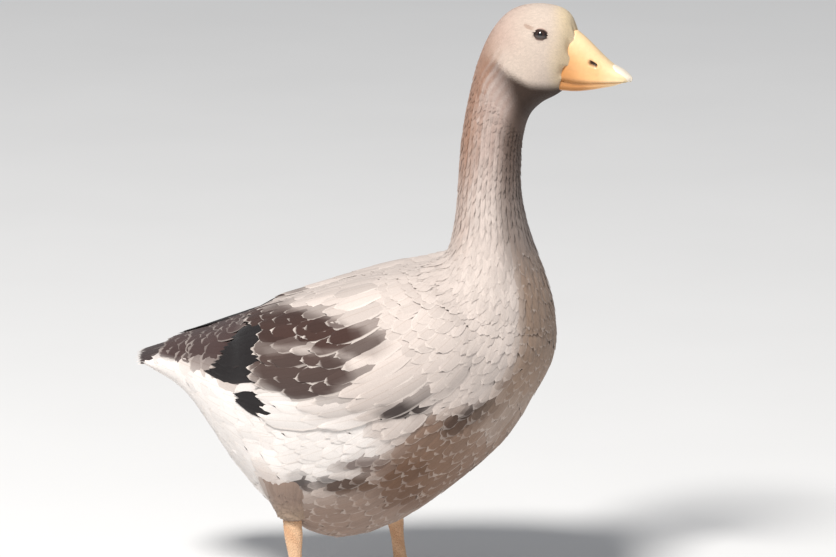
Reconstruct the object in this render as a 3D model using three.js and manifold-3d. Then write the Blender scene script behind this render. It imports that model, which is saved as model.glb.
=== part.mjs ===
// A domestic goose, life size, standing in mid-step with its neck up and its wings folded.
//
// Millimetres, +Z up. The bird faces +X and its left side is +Y. Both soles lie on Z = 0,
// and the origin is the middle of its box, on the floor.
//
// One lofted body runs from the bill's root over the head, down the neck, through the trunk
// and out to the tail coverts. Each of its sections is a flat ring held between a point of
// the back line and a point of the belly line. Head, neck, trunk and tail are lengths of
// that one loft, so they meet face to face with a hairline gap. The folded wings are shells
// laid over the trunk, and the legs, feet, bill and eyes are solids of their own.

import * as THREE from "three";
import { mergeVertices } from "three/addons/utils/BufferGeometryUtils.js";
import Module from "manifold-3d";

const wasm = await Module();
wasm.setup();

// ---------------------------------------------------------------- driving dimensions

const GAP = 0.3; // hairline between pieces that touch
const RIGHT = -1; // side of the body, as the sign of Y
const LEFT = 1;
const SIDES = { right: RIGHT, left: LEFT };

// Back line and belly line of the body in side view, with the half width of each section.
// [name, back x, back z, belly x, belly z, half width, how far the widest point sits below
// the middle as a share of the half height]
const STATIONS = [
  ["bill root", 255, 643, 240, 578, 19, 0.1],
  ["face", 247, 661, 230, 571, 27, 0.12],
  ["eye", 231, 669, 220, 566, 32, 0.14],
  ["crown", 206, 670, 212, 560, 35, 0.14],
  ["occiput", 181, 662, 205, 553, 35, 0.1],
  ["nape", 161, 640, 200, 545, 33, 0.05],
  ["throat", 147, 609, 196, 533, 31, 0],
  ["neck top", 135, 563, 192.5, 516, 30, 0],
  ["neck middle", 127, 515, 191.5, 490, 31, 0],
  ["neck low", 124, 468, 192, 460, 34, 0],
  ["neck root", 121, 428, 199, 425, 43, 0],
  ["shoulder", 114, 400, 209, 394, 58, 0],
  ["collar", 103, 388, 221, 354, 77, 0],
  ["breast top", 86, 381, 228, 316, 95, -0.05],
  ["breast", 62, 375, 227, 280, 107, -0.08],
  ["breast low", 37, 369, 207, 241, 115, -0.12],
  ["keel front", 9, 361, 175, 188, 120, -0.16],
  ["keel", -23, 350, 120, 137, 122, -0.2],
  ["belly", -57, 338, 56, 90, 119, -0.22],
  ["paunch", -89, 326, -10, 67, 112, -0.25],
  ["vent front", -119, 313, -66, 88, 100, -0.25],
  ["vent", -148, 301, -113, 134, 84, -0.22],
  ["stern", -173, 291, -144, 180, 68, -0.15],
  ["tail root", -195, 283, -172, 217, 56, -0.05],
  ["tail coverts", -214, 275, -201, 237, 49, 0],
  ["covert tips", -230, 268, -224, 249, 41, 0],
  ["covert ends", -239, 264, -237, 257, 30, 0],
];
const HEAD_SPAN = ["bill root", "throat"];
const NECK_SPAN = ["throat", "shoulder"];
const TRUNK_SPAN = ["shoulder", "tail root"];
const TAIL_SPAN = ["tail root", "covert ends"];
const BODY_SQUARENESS = 2.1; // 2 is an ellipse, more is boxier
const BODY_SEGMENTS = 28; // points round one section

const BILL = {
  culmen: [[255.4, 643], [266, 634.5], [276, 625], [286, 615.5], [296, 607.5], [306, 602], [315, 595]],
  mouth: [[243.4, 591], [256, 589], [271, 589], [287, 590], [302, 591], [313, 591]],
  chin: [[240.4, 578], [255, 578], [270, 580], [284, 583], [297, 586], [307, 590]],
  rootHalfWidth: 17.5,
  tipHalfWidth: 12.5,
  tipRoundness: 7,
  nostril: { x: 276, z: 610, length: 12, height: 5 },
  nail: { x: 317, z: 597, length: 14, halfWidth: 8, height: 11 },
};
const EYE = { x: 222, y: 23.6, z: 640, radius: 8.4 };

// Edges of the folded wing over the trunk, as [station, degrees round from the back line].
const WING = {
  armTop: [[11.9, 18], [14, 16], [17, 15], [19.6, 14]],
  armLow: [[12.5, 62], [13.4, 100], [14.6, 118], [16, 112], [17.3, 100], [18.4, 88], [19.6, 76]],
  // The long quills come out from under the arm. The left hand's cross over the rump.
  hands: {
    right: { top: [[19.65, 20], [20.7, 32], [21.7, 44]], low: [[19.65, 74], [20.7, 70], [21.7, 62]] },
    left: { top: [[19.65, 16], [21.2, 6], [22.8, -9]], low: [[19.65, 74], [21.2, 56], [22.8, 26]] },
  },
  shoulderThickness: 13,
  rearThickness: 8,
  handThickness: 6,
  edgeThickness: 2.2,
};

const TAIL = { rootX: -190, tipX: -247, rootZ: 271, tipZ: 259.5, rootHalfWidth: 42, endHalfWidth: 54,
  recess: 20, arch: 6, thickness: 4.2, edgeThickness: 1.6 };

// Each leg: where its hock and its foot joint are. The right leg pushes off behind, and
// the left one is set down in front.
const LEGS = {
  right: { hock: [-46, 63, 100], foot: [-41, 60], toeOut: 6 },
  left: { hock: [27, 63, 98], foot: [39, 60], toeOut: 3 },
};
const THIGH = {
  top: [6, 86, 212],
  foreRadii: [6, 36, 46, 44, 35, 23, 12.5],
  sideRadii: [4, 22, 29, 28, 23, 16, 11.5],
};
const SHANK = { topRadii: [10.4, 9], hockRadii: [10, 8.4], waistRadii: [7.4, 5.9],
  ankleRadii: [8.6, 7], ankleHeight: 18 };
const TOES = {
  inner: { length: 62, turn: 29, radius: 5.6, bones: 2 },
  middle: { length: 80, turn: 0, radius: 6.2, bones: 3 },
  outer: { length: 74, turn: -27, radius: 5.6, bones: 4 },
};
const TOE_TIP_SHARE = 0.62; // tip radius as a share of the root radius
const HIND_TOE = { root: [-3, 3, 13], tip: [-17, 5, 6.5], radius: 4.4 };
const WEB = { thickness: 2.4, root: 0.25, reach: 0.93, sag: 0.8 };
const CLAW = { length: 9.5, radius: 2.9, hindLength: 6, hindRadius: 2.2 };

// ---------------------------------------------------------------- looks of the solids

const material = (color, roughness) =>
  new THREE.MeshStandardMaterial({ color, roughness, metalness: 0 });
const FINISH = {
  head: material("#cdbfb2", 0.8),
  neck: material("#b9a598", 0.8),
  trunk: material("#d8d0c8", 0.8),
  wing: material("#8a7468", 0.75),
  quills: material("#3b302c", 0.6),
  tail: material("#ece9e6", 0.8),
  bill: material("#e8a55c", 0.45),
  nail: material("#efe2cf", 0.4),
  eye: material("#1d130e", 0.1),
  leg: material("#e38d4a", 0.55),
  claw: material("#c9a986", 0.4),
};

// ---------------------------------------------------------------- solids and lofts

/** A closed geometry as a manifold-3d solid, turned right side out if it is inside out. */
function solid(geometry) {
  const bare = new THREE.BufferGeometry();
  bare.setAttribute("position", geometry.getAttribute("position").clone());
  bare.setIndex(geometry.index);
  const merged = mergeVertices(bare, 1e-4);
  const make = (triVerts) =>
    new wasm.Manifold(new wasm.Mesh({
      numProp: 3,
      vertProperties: merged.attributes.position.array,
      triVerts,
    }));
  const faces = new Uint32Array(merged.index.array);
  const made = make(faces);
  return made.volume() > 0 ? made : make(faces.map((_, i) => faces[i - (i % 3) + 2 - (i % 3)]));
}

/** A manifold-3d solid as a geometry for a mesh. */
function geometryOf(body) {
  const mesh = body.getMesh();
  const geometry = new THREE.BufferGeometry();
  const places = new Float32Array(mesh.numVert * 3);
  for (let i = 0; i < mesh.numVert; i++)
    for (let k = 0; k < 3; k++) places[3 * i + k] = mesh.vertProperties[mesh.numProp * i + k];
  geometry.setAttribute("position", new THREE.BufferAttribute(places, 3));
  geometry.setIndex(new THREE.BufferAttribute(new Uint32Array(mesh.triVerts), 1));
  geometry.computeVertexNormals();
  return geometry;
}

/** The middle of a ring of points. */
function middle(ring) {
  const sum = ring.reduce((total, point) => total.add(point), new THREE.Vector3());
  return sum.divideScalar(ring.length);
}

/** A solid through rings of equally many points, closed by a fan at each end. */
function loft(rings) {
  const around = rings[0].length;
  const points = [...rings.flat(), middle(rings[0]), middle(rings.at(-1))];
  const firstCentre = points.length - 2;
  const lastCentre = points.length - 1;
  const lastRing = (rings.length - 1) * around;
  const faces = [];
  for (let j = 0; j < around; j++) {
    const next = (j + 1) % around;
    faces.push(firstCentre, next, j, lastCentre, lastRing + j, lastRing + next);
    for (let i = 0; i < lastRing; i += around)
      faces.push(i + j, i + next, i + around + next, i + j, i + around + next, i + around + j);
  }
  const geometry = new THREE.BufferGeometry().setFromPoints(points);
  geometry.setIndex(faces);
  return solid(geometry);
}

/** A smooth curve in side view through [x, z] points. */
const sideCurve = (points) =>
  new THREE.CatmullRomCurve3(points.map(([x, z]) => new THREE.Vector3(x, 0, z)), false, "catmullrom");

/** The value at share t of a smooth line through evenly spaced values. */
function smoothValue(values, t) {
  const line = new THREE.CatmullRomCurve3(
    values.map((value, i) => new THREE.Vector3(i, value, 0)), false, "catmullrom");
  return line.getPoint(t).y;
}

const lerp = THREE.MathUtils.lerp;
const radians = THREE.MathUtils.degToRad;
const count = (steps) => [...Array(steps + 1).keys()].map((i) => i / steps);

/** A ring round a centre in the plane of two half axes, at count points. */
function ellipse(centre, across, along, points) {
  return [...Array(points).keys()].map((i) => {
    const angle = (2 * Math.PI * i) / points;
    return centre.clone().addScaledVector(across, Math.cos(angle)).addScaledVector(along, Math.sin(angle));
  });
}

// ---------------------------------------------------------------- the body loft

const LAST = STATIONS.length - 1;
const at = (name) => STATIONS.findIndex((row) => row[0] === name);
const backLine = sideCurve(STATIONS.map(([, x, z]) => [x, z]));
const bellyLine = sideCurve(STATIONS.map(([, , , x, z]) => [x, z]));
const halfWidths = STATIONS.map((row) => row[5]);
const lows = STATIONS.map((row) => row[6]);

/** A cosine or sine drawn out towards the corners, as in a superellipse. */
const squared = (value) => Math.sign(value) * Math.abs(value) ** (2 / BODY_SQUARENESS);

/** The body's surface: station as a real number, angle in radians from the back line
 *  towards the left side. */
function bodyPoint(station, angle) {
  const t = station / LAST;
  const back = backLine.getPoint(t);
  const belly = bellyLine.getPoint(t);
  const centre = back.clone().add(belly).multiplyScalar(0.5);
  const up = back.sub(belly).multiplyScalar(0.5);
  const rise = squared(Math.cos(angle));
  const low = smoothValue(lows, t);
  centre.addScaledVector(up, rise - low * (1 - rise * rise));
  centre.y = smoothValue(halfWidths, t) * squared(Math.sin(angle));
  return centre;
}

/** The outward normal of the body's surface. */
function bodyNormal(station, angle) {
  const step = 0.02;
  const ahead = THREE.MathUtils.clamp(station + step, 0, LAST);
  const behind = THREE.MathUtils.clamp(station - step, 0, LAST);
  const along = bodyPoint(ahead, angle).sub(bodyPoint(behind, angle));
  const around = bodyPoint(station, angle + step).sub(bodyPoint(station, angle - step));
  return around.cross(along).normalize();
}

/** The body's surface, moved out by a distance. */
const shellPoint = (station, angle, out) =>
  bodyPoint(station, angle).addScaledVector(bodyNormal(station, angle), out);

/** A length of the body between two stations. Its first face stands back by the gap. */
function bodyLength([fromName, toName], ringsPerStation, grow = 0) {
  const from = at(fromName);
  const to = at(toName);
  const angles = count(BODY_SEGMENTS).slice(0, -1).map((share) => 2 * Math.PI * share);
  const rings = count((to - from) * ringsPerStation).map((share) => {
    const station = lerp(from, to, share);
    return angles.map((angle) => (grow ? shellPoint(station, angle, grow) : bodyPoint(station, angle)));
  });
  if (from > 0 && !grow) {
    const [a, b, c] = [0, BODY_SEGMENTS / 3, (2 * BODY_SEGMENTS) / 3].map((i) => rings[0][Math.round(i)]);
    const normal = new THREE.Plane().setFromCoplanarPoints(a, b, c).normal;
    const onward = middle(rings[1]).sub(middle(rings[0]));
    normal.multiplyScalar(Math.sign(normal.dot(onward)) * GAP);
    rings[0] = rings[0].map((point) => point.clone().add(normal));
  }
  return loft(rings);
}

// ---------------------------------------------------------------- head and bill

/** The ball of an eye, larger by grow. */
function eyeBall(side, grow = 0) {
  const ball = new THREE.SphereGeometry(EYE.radius + grow, 14, 8);
  return solid(ball.translate(EYE.x, side * EYE.y, EYE.z));
}

/** The half width of the bill at share s of its length. */
const billHalfWidth = (s) =>
  lerp(BILL.rootHalfWidth, BILL.tipHalfWidth, s) * Math.sqrt(Math.max(1 - s ** BILL.tipRoundness, 0.03));

/** A half of the bill: a domed side between the mouth line and an outer line. */
function mandible(outerPoints, widthShare, mouthGap, lengthShare) {
  const outer = sideCurve(outerPoints);
  const mouth = sideCurve(BILL.mouth);
  const dome = count(10).map((share) => Math.PI * share);
  const floor = [0];
  return loft(count(10).map((share) => {
    const s = share * lengthShare;
    const edge = mouth.getPoint(s);
    const crest = outer.getPoint(share);
    const half = billHalfWidth(s) * widthShare;
    edge.z += mouthGap;
    return [
      ...dome.map((angle) => edge.clone().lerp(crest, Math.sin(angle) ** 0.9)
        .setY(-half * Math.cos(angle))),
      ...floor.map((y) => new THREE.Vector3(edge.x, half * y, edge.z)),
    ];
  }));
}

/** The horn nail's share of the bill's tip. */
function nailBlock(grow = 0) {
  const { x, z, length, halfWidth, height } = BILL.nail;
  const ball = new THREE.SphereGeometry(1, 12, 8);
  ball.scale(length + grow, halfWidth + grow, height + grow);
  return solid(ball.translate(x, 0, z));
}

/** The nostril, which runs right through from side to side. */
function nostril() {
  const { x, z, length, height } = BILL.nostril;
  const drill = new THREE.CylinderGeometry(1, 1, 2.4 * BILL.rootHalfWidth, 12);
  drill.scale(length / 2, 1, height / 2);
  return solid(drill.rotateY(radians(28)).translate(x, 0, z));
}

function headPieces() {
  const upper = mandible(BILL.culmen, 1, GAP / 2, 1).subtract(nostril());
  const lower = mandible(BILL.chin, 0.86, -GAP / 2, 0.93);
  const skull = bodyLength(HEAD_SPAN, 2)
    .subtract(eyeBall(RIGHT, GAP))
    .subtract(eyeBall(LEFT, GAP));
  return {
    head: [skull, FINISH.head],
    bill_upper: [upper.subtract(nailBlock(GAP)), FINISH.bill],
    bill_nail: [upper.intersect(nailBlock()), FINISH.nail],
    bill_lower: [lower, FINISH.bill],
    eye_right: [eyeBall(RIGHT), FINISH.eye],
    eye_left: [eyeBall(LEFT), FINISH.eye],
  };
}

// ---------------------------------------------------------------- wings and tail

/** A shell over the trunk between two edges, with a thickness at each place. It lies just
 *  off the trunk. */
function shell(side, topEdge, lowEdge, thickness, rows, columns) {
  const [top, low] = [topEdge, lowEdge].map(sideCurve);
  const inner = [];
  const outer = [];
  for (const along of count(rows)) {
    const first = top.getPoint(along);
    const last = low.getPoint(along);
    for (const share of count(columns)) {
      const { x: station, z: degrees } = first.clone().lerp(last, share);
      const angle = side * radians(degrees);
      inner.push(shellPoint(station, angle, 4 * GAP));
      outer.push(shellPoint(station, angle, 4 * GAP + thickness(along, share)));
    }
  }
  const width = columns + 1;
  const outerStart = inner.length;
  const faces = [];
  const quad = (a, b, c, d) => faces.push(a, b, c, a, c, d);
  for (let i = 0; i < rows; i++)
    for (let j = 0; j < columns; j++) {
      const a = i * width + j;
      quad(a, a + 1, a + width + 1, a + width);
      quad(outerStart + a, outerStart + a + width, outerStart + a + width + 1, outerStart + a + 1);
    }
  const rim = [
    ...[...Array(columns).keys()].map((j) => j),
    ...[...Array(rows).keys()].map((i) => i * width + columns),
    ...[...Array(columns).keys()].map((j) => rows * width + columns - j),
    ...[...Array(rows).keys()].map((i) => (rows - i) * width),
  ];
  rim.forEach((a, i) => {
    const b = rim[(i + 1) % rim.length];
    quad(b, a, outerStart + a, outerStart + b);
  });
  const geometry = new THREE.BufferGeometry().setFromPoints([...inner, ...outer]);
  geometry.setIndex(faces);
  return solid(geometry);
}

/** The folded arm: thick at the shoulder, thin at every edge. */
function wingArm(side) {
  const { armTop, armLow, shoulderThickness, rearThickness, edgeThickness } = WING;
  const thickness = (along, share) => {
    const crown = Math.sin(Math.PI * share) ** 0.8 * Math.sin(Math.PI * (0.1 + 0.9 * along)) ** 0.4;
    return edgeThickness + (lerp(shoulderThickness, rearThickness, along) - edgeThickness) * crown;
  };
  return shell(side, armTop, armLow, thickness, 15, 8);
}

/** The long quills of the hand, lying past the arm beside the tail root. */
function wingHand(side, { top, low }) {
  const { edgeThickness, handThickness } = WING;
  const thickness = (along, share) =>
    edgeThickness + (handThickness - edgeThickness) * Math.sin(Math.PI * share) * (1 - 0.6 * along);
  return shell(side, top, low, thickness, 6, 5);
}

/** The tail: its coverts, with the fan of quills coming out from between them. */
function tail() {
  const columns = count(8).map((share) => 2 * share - 1);
  const fan = loft(count(5).map((share) => {
    const round = Math.sqrt(1 - (0.98 * share) ** 6);
    const half = lerp(TAIL.rootHalfWidth, TAIL.endHalfWidth, share) * lerp(0.55, 1, round);
    const z = lerp(TAIL.rootZ, TAIL.tipZ, share);
    const thick = lerp(TAIL.thickness, TAIL.edgeThickness, share);
    const place = (y, rise) => new THREE.Vector3(
      lerp(TAIL.rootX, TAIL.tipX, share) + TAIL.recess * share * y * y,
      half * y,
      z - TAIL.arch * y * y + rise);
    const edge = (y) => thick * Math.sqrt(1.05 - y * y);
    return [
      ...columns.map((y) => place(y, edge(y) / 2)),
      ...columns.slice().reverse().map((y) => place(y, -edge(y) / 2)),
    ];
  }));
  return bodyLength(TAIL_SPAN, 2).add(fan.subtract(bodyLength(["stern", "tail root"], 2, GAP)));
}

// ---------------------------------------------------------------- legs and feet

/** The feathered thigh, outside the trunk, down to the hock. */
function thigh(side, leg) {
  const top = new THREE.Vector3(...THIGH.top);
  top.x += leg.hock[0];
  const hock = new THREE.Vector3(...leg.hock);
  const rings = count(10).map((share) => {
    const centre = top.clone().lerp(hock, share);
    const fore = smoothValue(THIGH.foreRadii, share);
    const wide = smoothValue(THIGH.sideRadii, share);
    return ellipse(centre, new THREE.Vector3(fore, 0, 0), new THREE.Vector3(0, wide, 0), 16)
      .map((point) => new THREE.Vector3(point.x, side * point.y, point.z));
  });
  return loft(rings);
}

/** The bare shank: hock, slender bone, ankle. */
function shank(side, leg) {
  const foot = new THREE.Vector3(...leg.foot, SHANK.ankleHeight);
  const hock = new THREE.Vector3(...leg.hock);
  hock.z -= GAP;
  const radii = [SHANK.topRadii, SHANK.hockRadii, SHANK.waistRadii, SHANK.waistRadii, SHANK.ankleRadii];
  const rings = count(9).map((share) => {
    const centre = hock.clone().lerp(foot, share);
    const fore = smoothValue(radii.map((pair) => pair[0]), share);
    const wide = smoothValue(radii.map((pair) => pair[1]), share);
    return ellipse(centre, new THREE.Vector3(fore, 0, 0), new THREE.Vector3(0, wide, 0), 12)
      .map((point) => new THREE.Vector3(point.x, side * point.y, point.z));
  });
  return loft(rings);
}

/** A place on the floor plan of a foot, for the given side of the body. */
function footPlace(side, leg, forward, inward, z) {
  const turn = radians(leg.toeOut);
  const outward = -inward * Math.cos(turn) + forward * Math.sin(turn);
  const x = leg.foot[0] + forward * Math.cos(turn) + inward * Math.sin(turn);
  return new THREE.Vector3(x, side * (leg.foot[1] + outward), z);
}

/** A toe's middle line: [forward, inward, height] at a share of its length. */
function toeLine(toe, share) {
  const reach = toe.length * share;
  const turn = radians(toe.turn);
  const height = lerp(toe.radius * 1.5, toe.radius * TOE_TIP_SHARE * 0.8, share ** 0.6);
  return [reach * Math.cos(turn), reach * Math.sin(turn), height];
}

/** A toe with its pads, tapering to the claw's root. */
function toe(side, leg, shape) {
  const rings = count(shape.bones * 2).map((share) => {
    const centre = footPlace(side, leg, ...toeLine(shape, share));
    const next = footPlace(side, leg, ...toeLine(shape, share + 0.01));
    const onward = next.sub(centre).normalize();
    const across = new THREE.Vector3(0, 0, 1).cross(onward).normalize();
    const up = onward.clone().cross(across);
    const pad = 1 + 0.1 * Math.cos(2 * Math.PI * shape.bones * share);
    const radius = lerp(shape.radius, shape.radius * TOE_TIP_SHARE, share) * pad;
    return ellipse(centre, across.multiplyScalar(radius), up.multiplyScalar(radius * 0.92), 7);
  });
  return loft(rings);
}

/** The web from toe to toe, with a hollow front edge in each space. */
function web(side, leg) {
  const shapes = Object.values(TOES);
  const onToe = (shape, share) => new THREE.Vector2(...toeLine(shape, share).slice(0, 2));
  const outline = new THREE.Shape();
  outline.moveTo(...onToe(shapes[0], WEB.root));
  outline.lineTo(...onToe(shapes[0], WEB.reach));
  for (let i = 1; i < shapes.length; i++) {
    const [last, next] = [shapes[i - 1], shapes[i]].map((shape) => onToe(shape, WEB.reach));
    const hollow = last.clone().add(next).multiplyScalar(WEB.sag / 2);
    outline.quadraticCurveTo(...hollow, ...next);
  }
  outline.lineTo(...onToe(shapes.at(-1), WEB.root));
  outline.closePath();
  const sheet = new THREE.ExtrudeGeometry(outline, {
    depth: WEB.thickness, bevelEnabled: false, curveSegments: 5 });
  const places = sheet.getAttribute("position");
  for (let i = 0; i < places.count; i++) {
    const place = footPlace(side, leg, places.getX(i), places.getY(i), places.getZ(i));
    places.setXYZ(i, place.x, place.y, place.z);
  }
  return solid(sheet);
}

/** A tapering claw that curves down from a toe's end. */
function claw(side, leg, root, tip, length, radius) {
  const [rootPoint, tipPoint] = [root, tip].map((place) => footPlace(side, leg, ...place));
  const onward = tipPoint.sub(rootPoint).setZ(0).normalize();
  const across = new THREE.Vector3(-onward.y, onward.x, 0);
  const lowest = 0.2;
  const rings = count(3).map((share) => {
    const size = radius * (1 - 0.82 * share);
    const fall = Math.max(rootPoint.z - 0.32 * length * share * share, size + lowest);
    const centre = rootPoint.clone().addScaledVector(onward, length * share + GAP).setZ(fall);
    const up = new THREE.Vector3(0, 0, size);
    return ellipse(centre, across.clone().multiplyScalar(size * 0.85), up, 6);
  });
  return loft(rings);
}

/** The hind toe, a short spur on the inner side of the ankle. */
function hindToe(side, leg) {
  const [root, tip] = [HIND_TOE.root, HIND_TOE.tip].map((place) => footPlace(side, leg, ...place));
  const onward = tip.clone().sub(root).normalize();
  const across = new THREE.Vector3(0, 0, 1).cross(onward).normalize();
  const up = onward.clone().cross(across);
  return loft(count(3).map((share) => {
    const radius = HIND_TOE.radius * lerp(1, 0.62, share);
    return ellipse(root.clone().lerp(tip, share),
      across.clone().multiplyScalar(radius), up.clone().multiplyScalar(radius), 6);
  }));
}

/** Everything above the floor, to trim the soles flat. */
function aboveFloor() {
  const room = new THREE.BoxGeometry(1200, 800, 900);
  return solid(room.translate(0, 0, 450));
}

function foot(side, leg) {
  const joint = new THREE.Vector3(leg.foot[0], side * leg.foot[1], 0);
  const knuckle = loft(count(3).map((share) => {
    const centre = joint.clone().setZ(lerp(-1, SHANK.ankleHeight - GAP, share));
    const [fore, wide] = SHANK.ankleRadii.map((radius) => lerp(radius + 1.6, radius, share));
    return ellipse(centre, new THREE.Vector3(fore, 0, 0), new THREE.Vector3(0, wide, 0), 10);
  }));
  return [
    ...Object.values(TOES).map((shape) => toe(side, leg, shape)),
    web(side, leg),
    hindToe(side, leg),
  ].reduce((whole, piece) => whole.add(piece), knuckle).intersect(aboveFloor());
}

function claws(side, leg, sideName) {
  const front = Object.entries(TOES).map(([name, shape]) => {
    const made = claw(side, leg, toeLine(shape, 1), toeLine(shape, 1.1), CLAW.length, CLAW.radius);
    return [`claw_${sideName}_${name}`, [made, FINISH.claw]];
  });
  const beyond = HIND_TOE.tip.map((value, k) => 2 * value - HIND_TOE.root[k]);
  const hind = claw(side, leg, HIND_TOE.tip, beyond, CLAW.hindLength, CLAW.hindRadius);
  return Object.fromEntries([...front, [`claw_${sideName}_hind`, [hind, FINISH.claw]]]);
}

function sidePieces(sideName) {
  const side = SIDES[sideName];
  const leg = LEGS[sideName];
  const trunkRoom = bodyLength(["neck root", "tail root"], 2, GAP);
  const footSolid = foot(side, leg);
  const clawSolids = claws(side, leg, sideName);
  for (const entry of Object.values(clawSolids)) entry[0] = entry[0].subtract(footSolid);
  return {
    [`wing_arm_${sideName}`]: [wingArm(side).subtract(trunkRoom), FINISH.wing],
    [`wing_hand_${sideName}`]: [wingHand(side, WING.hands[sideName]), FINISH.quills],
    [`thigh_${sideName}`]: [thigh(side, leg).subtract(trunkRoom), FINISH.trunk],
    [`shank_${sideName}`]: [shank(side, leg).subtract(trunkRoom), FINISH.leg],
    [`foot_${sideName}`]: [footSolid, FINISH.leg],
    ...clawSolids,
  };
}

// ---------------------------------------------------------------- the goose

const PIECES = {
  ...headPieces(),
  neck: [bodyLength(NECK_SPAN, 2), FINISH.neck],
  trunk: [bodyLength(TRUNK_SPAN, 2), FINISH.trunk],
  tail: [tail(), FINISH.tail],
  ...sidePieces("right"),
  ...sidePieces("left"),
};

const goose = new THREE.Group();
for (const [name, [body, finish]] of Object.entries(PIECES)) {
  const mesh = new THREE.Mesh(geometryOf(body), finish);
  mesh.name = name;
  goose.add(mesh);
}

// The middle of the box, on the floor, becomes the origin.
const box = new THREE.Box3().setFromObject(goose);
const centre = box.getCenter(new THREE.Vector3());
goose.position.set(-centre.x, -centre.y, 0);

export default goose;
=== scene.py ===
"""A domestic goose, life size: skin, feathers, bill, eyes, legs and feet over its CAD frame.

Metres, +Z up, the bill towards +X and the bird's left towards +Y.

The body's form is read off the frame with rays, on a grid: t runs from the bill's root (0)
over the head, down the neck and along the trunk to the tail (1), and a runs round the body
from the back line (0) towards the left side. The skin is that grid drawn in by the depth of
the coat. Every feather is a closed vane over the skin that follows the grid from its root to
its tip, deep at the root and high at the tip, so that each lies over the next one's root.
"""
import math

import bpy
import numpy as np
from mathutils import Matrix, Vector, kdtree
from mathutils.bvhtree import BVHTree


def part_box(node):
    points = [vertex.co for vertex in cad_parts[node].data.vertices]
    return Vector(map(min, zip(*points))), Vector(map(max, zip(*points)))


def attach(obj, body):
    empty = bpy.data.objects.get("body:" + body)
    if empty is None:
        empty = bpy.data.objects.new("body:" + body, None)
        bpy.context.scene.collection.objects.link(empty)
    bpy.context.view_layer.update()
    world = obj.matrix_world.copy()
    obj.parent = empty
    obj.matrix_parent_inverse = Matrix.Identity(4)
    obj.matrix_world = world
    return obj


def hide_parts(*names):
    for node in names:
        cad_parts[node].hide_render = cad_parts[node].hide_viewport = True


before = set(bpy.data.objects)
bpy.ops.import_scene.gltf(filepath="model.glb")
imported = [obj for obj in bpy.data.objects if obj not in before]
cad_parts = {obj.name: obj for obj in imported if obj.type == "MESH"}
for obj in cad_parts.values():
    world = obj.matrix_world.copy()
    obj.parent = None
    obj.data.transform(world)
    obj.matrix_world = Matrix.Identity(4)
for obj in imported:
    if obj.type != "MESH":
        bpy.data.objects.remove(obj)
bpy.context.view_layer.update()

MM = 0.001
TURN = 2 * math.pi
SIDES = {"right": -1, "left": 1}
rng = np.random.default_rng(7)

# ---------------------------------------------------------------- lines and numbers


def smooth_step(low, high, value):
    """0 below low, 1 above high and a soft rise between them. High may be the lower one."""
    share = np.clip((value - low) / (high - low), 0, 1)
    return share * share * (3 - 2 * share)


def spline(rows, shares):
    """A smooth curve through rows, at shares 0 to 1 of their numbers."""
    rows = np.asarray(rows, float)
    rows = rows.reshape(len(rows), -1)
    padded = np.vstack([2 * rows[0] - rows[1], rows, 2 * rows[-1] - rows[-2]])
    places = np.clip(np.asarray(shares) * (len(rows) - 1), 0, len(rows) - 1 - 1e-9)
    k = places.astype(int)
    f = (places - k)[:, None]
    p0, p1, p2, p3 = (padded[k + i] for i in range(4))
    return p1 + f / 2 * (p2 - p0 + f * (2 * p0 - 5 * p1 + 4 * p2 - p3 + f * (3 * (p1 - p2) + p3 - p0)))


def unit(vectors):
    return vectors / np.maximum(np.linalg.norm(vectors, axis=-1, keepdims=True), 1e-12)


def dot(one, other):
    return (one * other).sum(-1)


WAVES = rng.normal(size=(7, 3))
PHASES = rng.uniform(0, TURN, 7)


def wobble(points, scale):
    """Smooth noise, about -1 to 1, that changes over scale metres."""
    return np.sin(points / scale @ WAVES.T + PHASES).mean(-1) * 1.9


# ---------------------------------------------------------------- the body's form

# Sections of the body in side view, in mm: back point, belly point, half width, then the
# coat there: its depth, and the length and width of its feathers.
SECTIONS = {
    # name: (back x, back z, belly x, belly z, half width, coat depth, length, width)
    "bill root": (221, 643, 206, 578, 19, 1.9, 3.6, 1.5),
    "face": (213, 661, 196, 571, 27, 2.0, 4.6, 1.9),
    "eye": (197, 669, 186, 566, 32, 1.9, 5.6, 2.2),
    "crown": (172, 670, 178, 560, 35, 1.8, 7.0, 2.6),
    "occiput": (147, 662, 171, 553, 35, 2.2, 8.0, 2.9),
    "throat": (113, 609, 162, 533, 31, 3.6, 11, 3.8),
    "neck top": (101, 563, 158, 516, 30, 5.0, 15, 5.2),
    "neck low": (90, 468, 158, 460, 34, 6.0, 19, 6.6),
    "neck root": (87, 428, 165, 425, 43, 7.0, 22, 9),
    "collar": (69, 388, 187, 354, 77, 8.5, 24, 12.5),
    "breast top": (52, 381, 194, 316, 95, 9.5, 25, 15),
    "breast": (28, 375, 193, 280, 107, 10, 27, 16.5),
    "breast low": (3, 369, 173, 241, 115, 10, 30, 17.5),
    "keel": (-57, 350, 86, 137, 122, 10, 32, 19),
    "belly": (-91, 338, 22, 90, 119, 10, 35, 20),
    "paunch": (-123, 326, -44, 67, 112, 10, 38, 21.5),
    "vent front": (-153, 313, -100, 88, 100, 9.5, 44, 24),
    "vent": (-182, 301, -147, 134, 84, 9, 50, 25),
    "tail root": (-229, 283, -206, 217, 56, 7, 56, 25),
    "covert ends": (-273, 264, -271, 257, 30, 2.5, 40, 20),
}
FLESH = ["head", "neck", "trunk", "tail", "thigh_right", "thigh_left",
         "wing_arm_right", "wing_arm_left"]
RINGS = 420
SPOKES = 240
REACH = 26 * MM  # how far outside a section's ellipse the rays start
BACK_SHARE = 0.35  # how much the back line's length counts beside the middle line's

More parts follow.
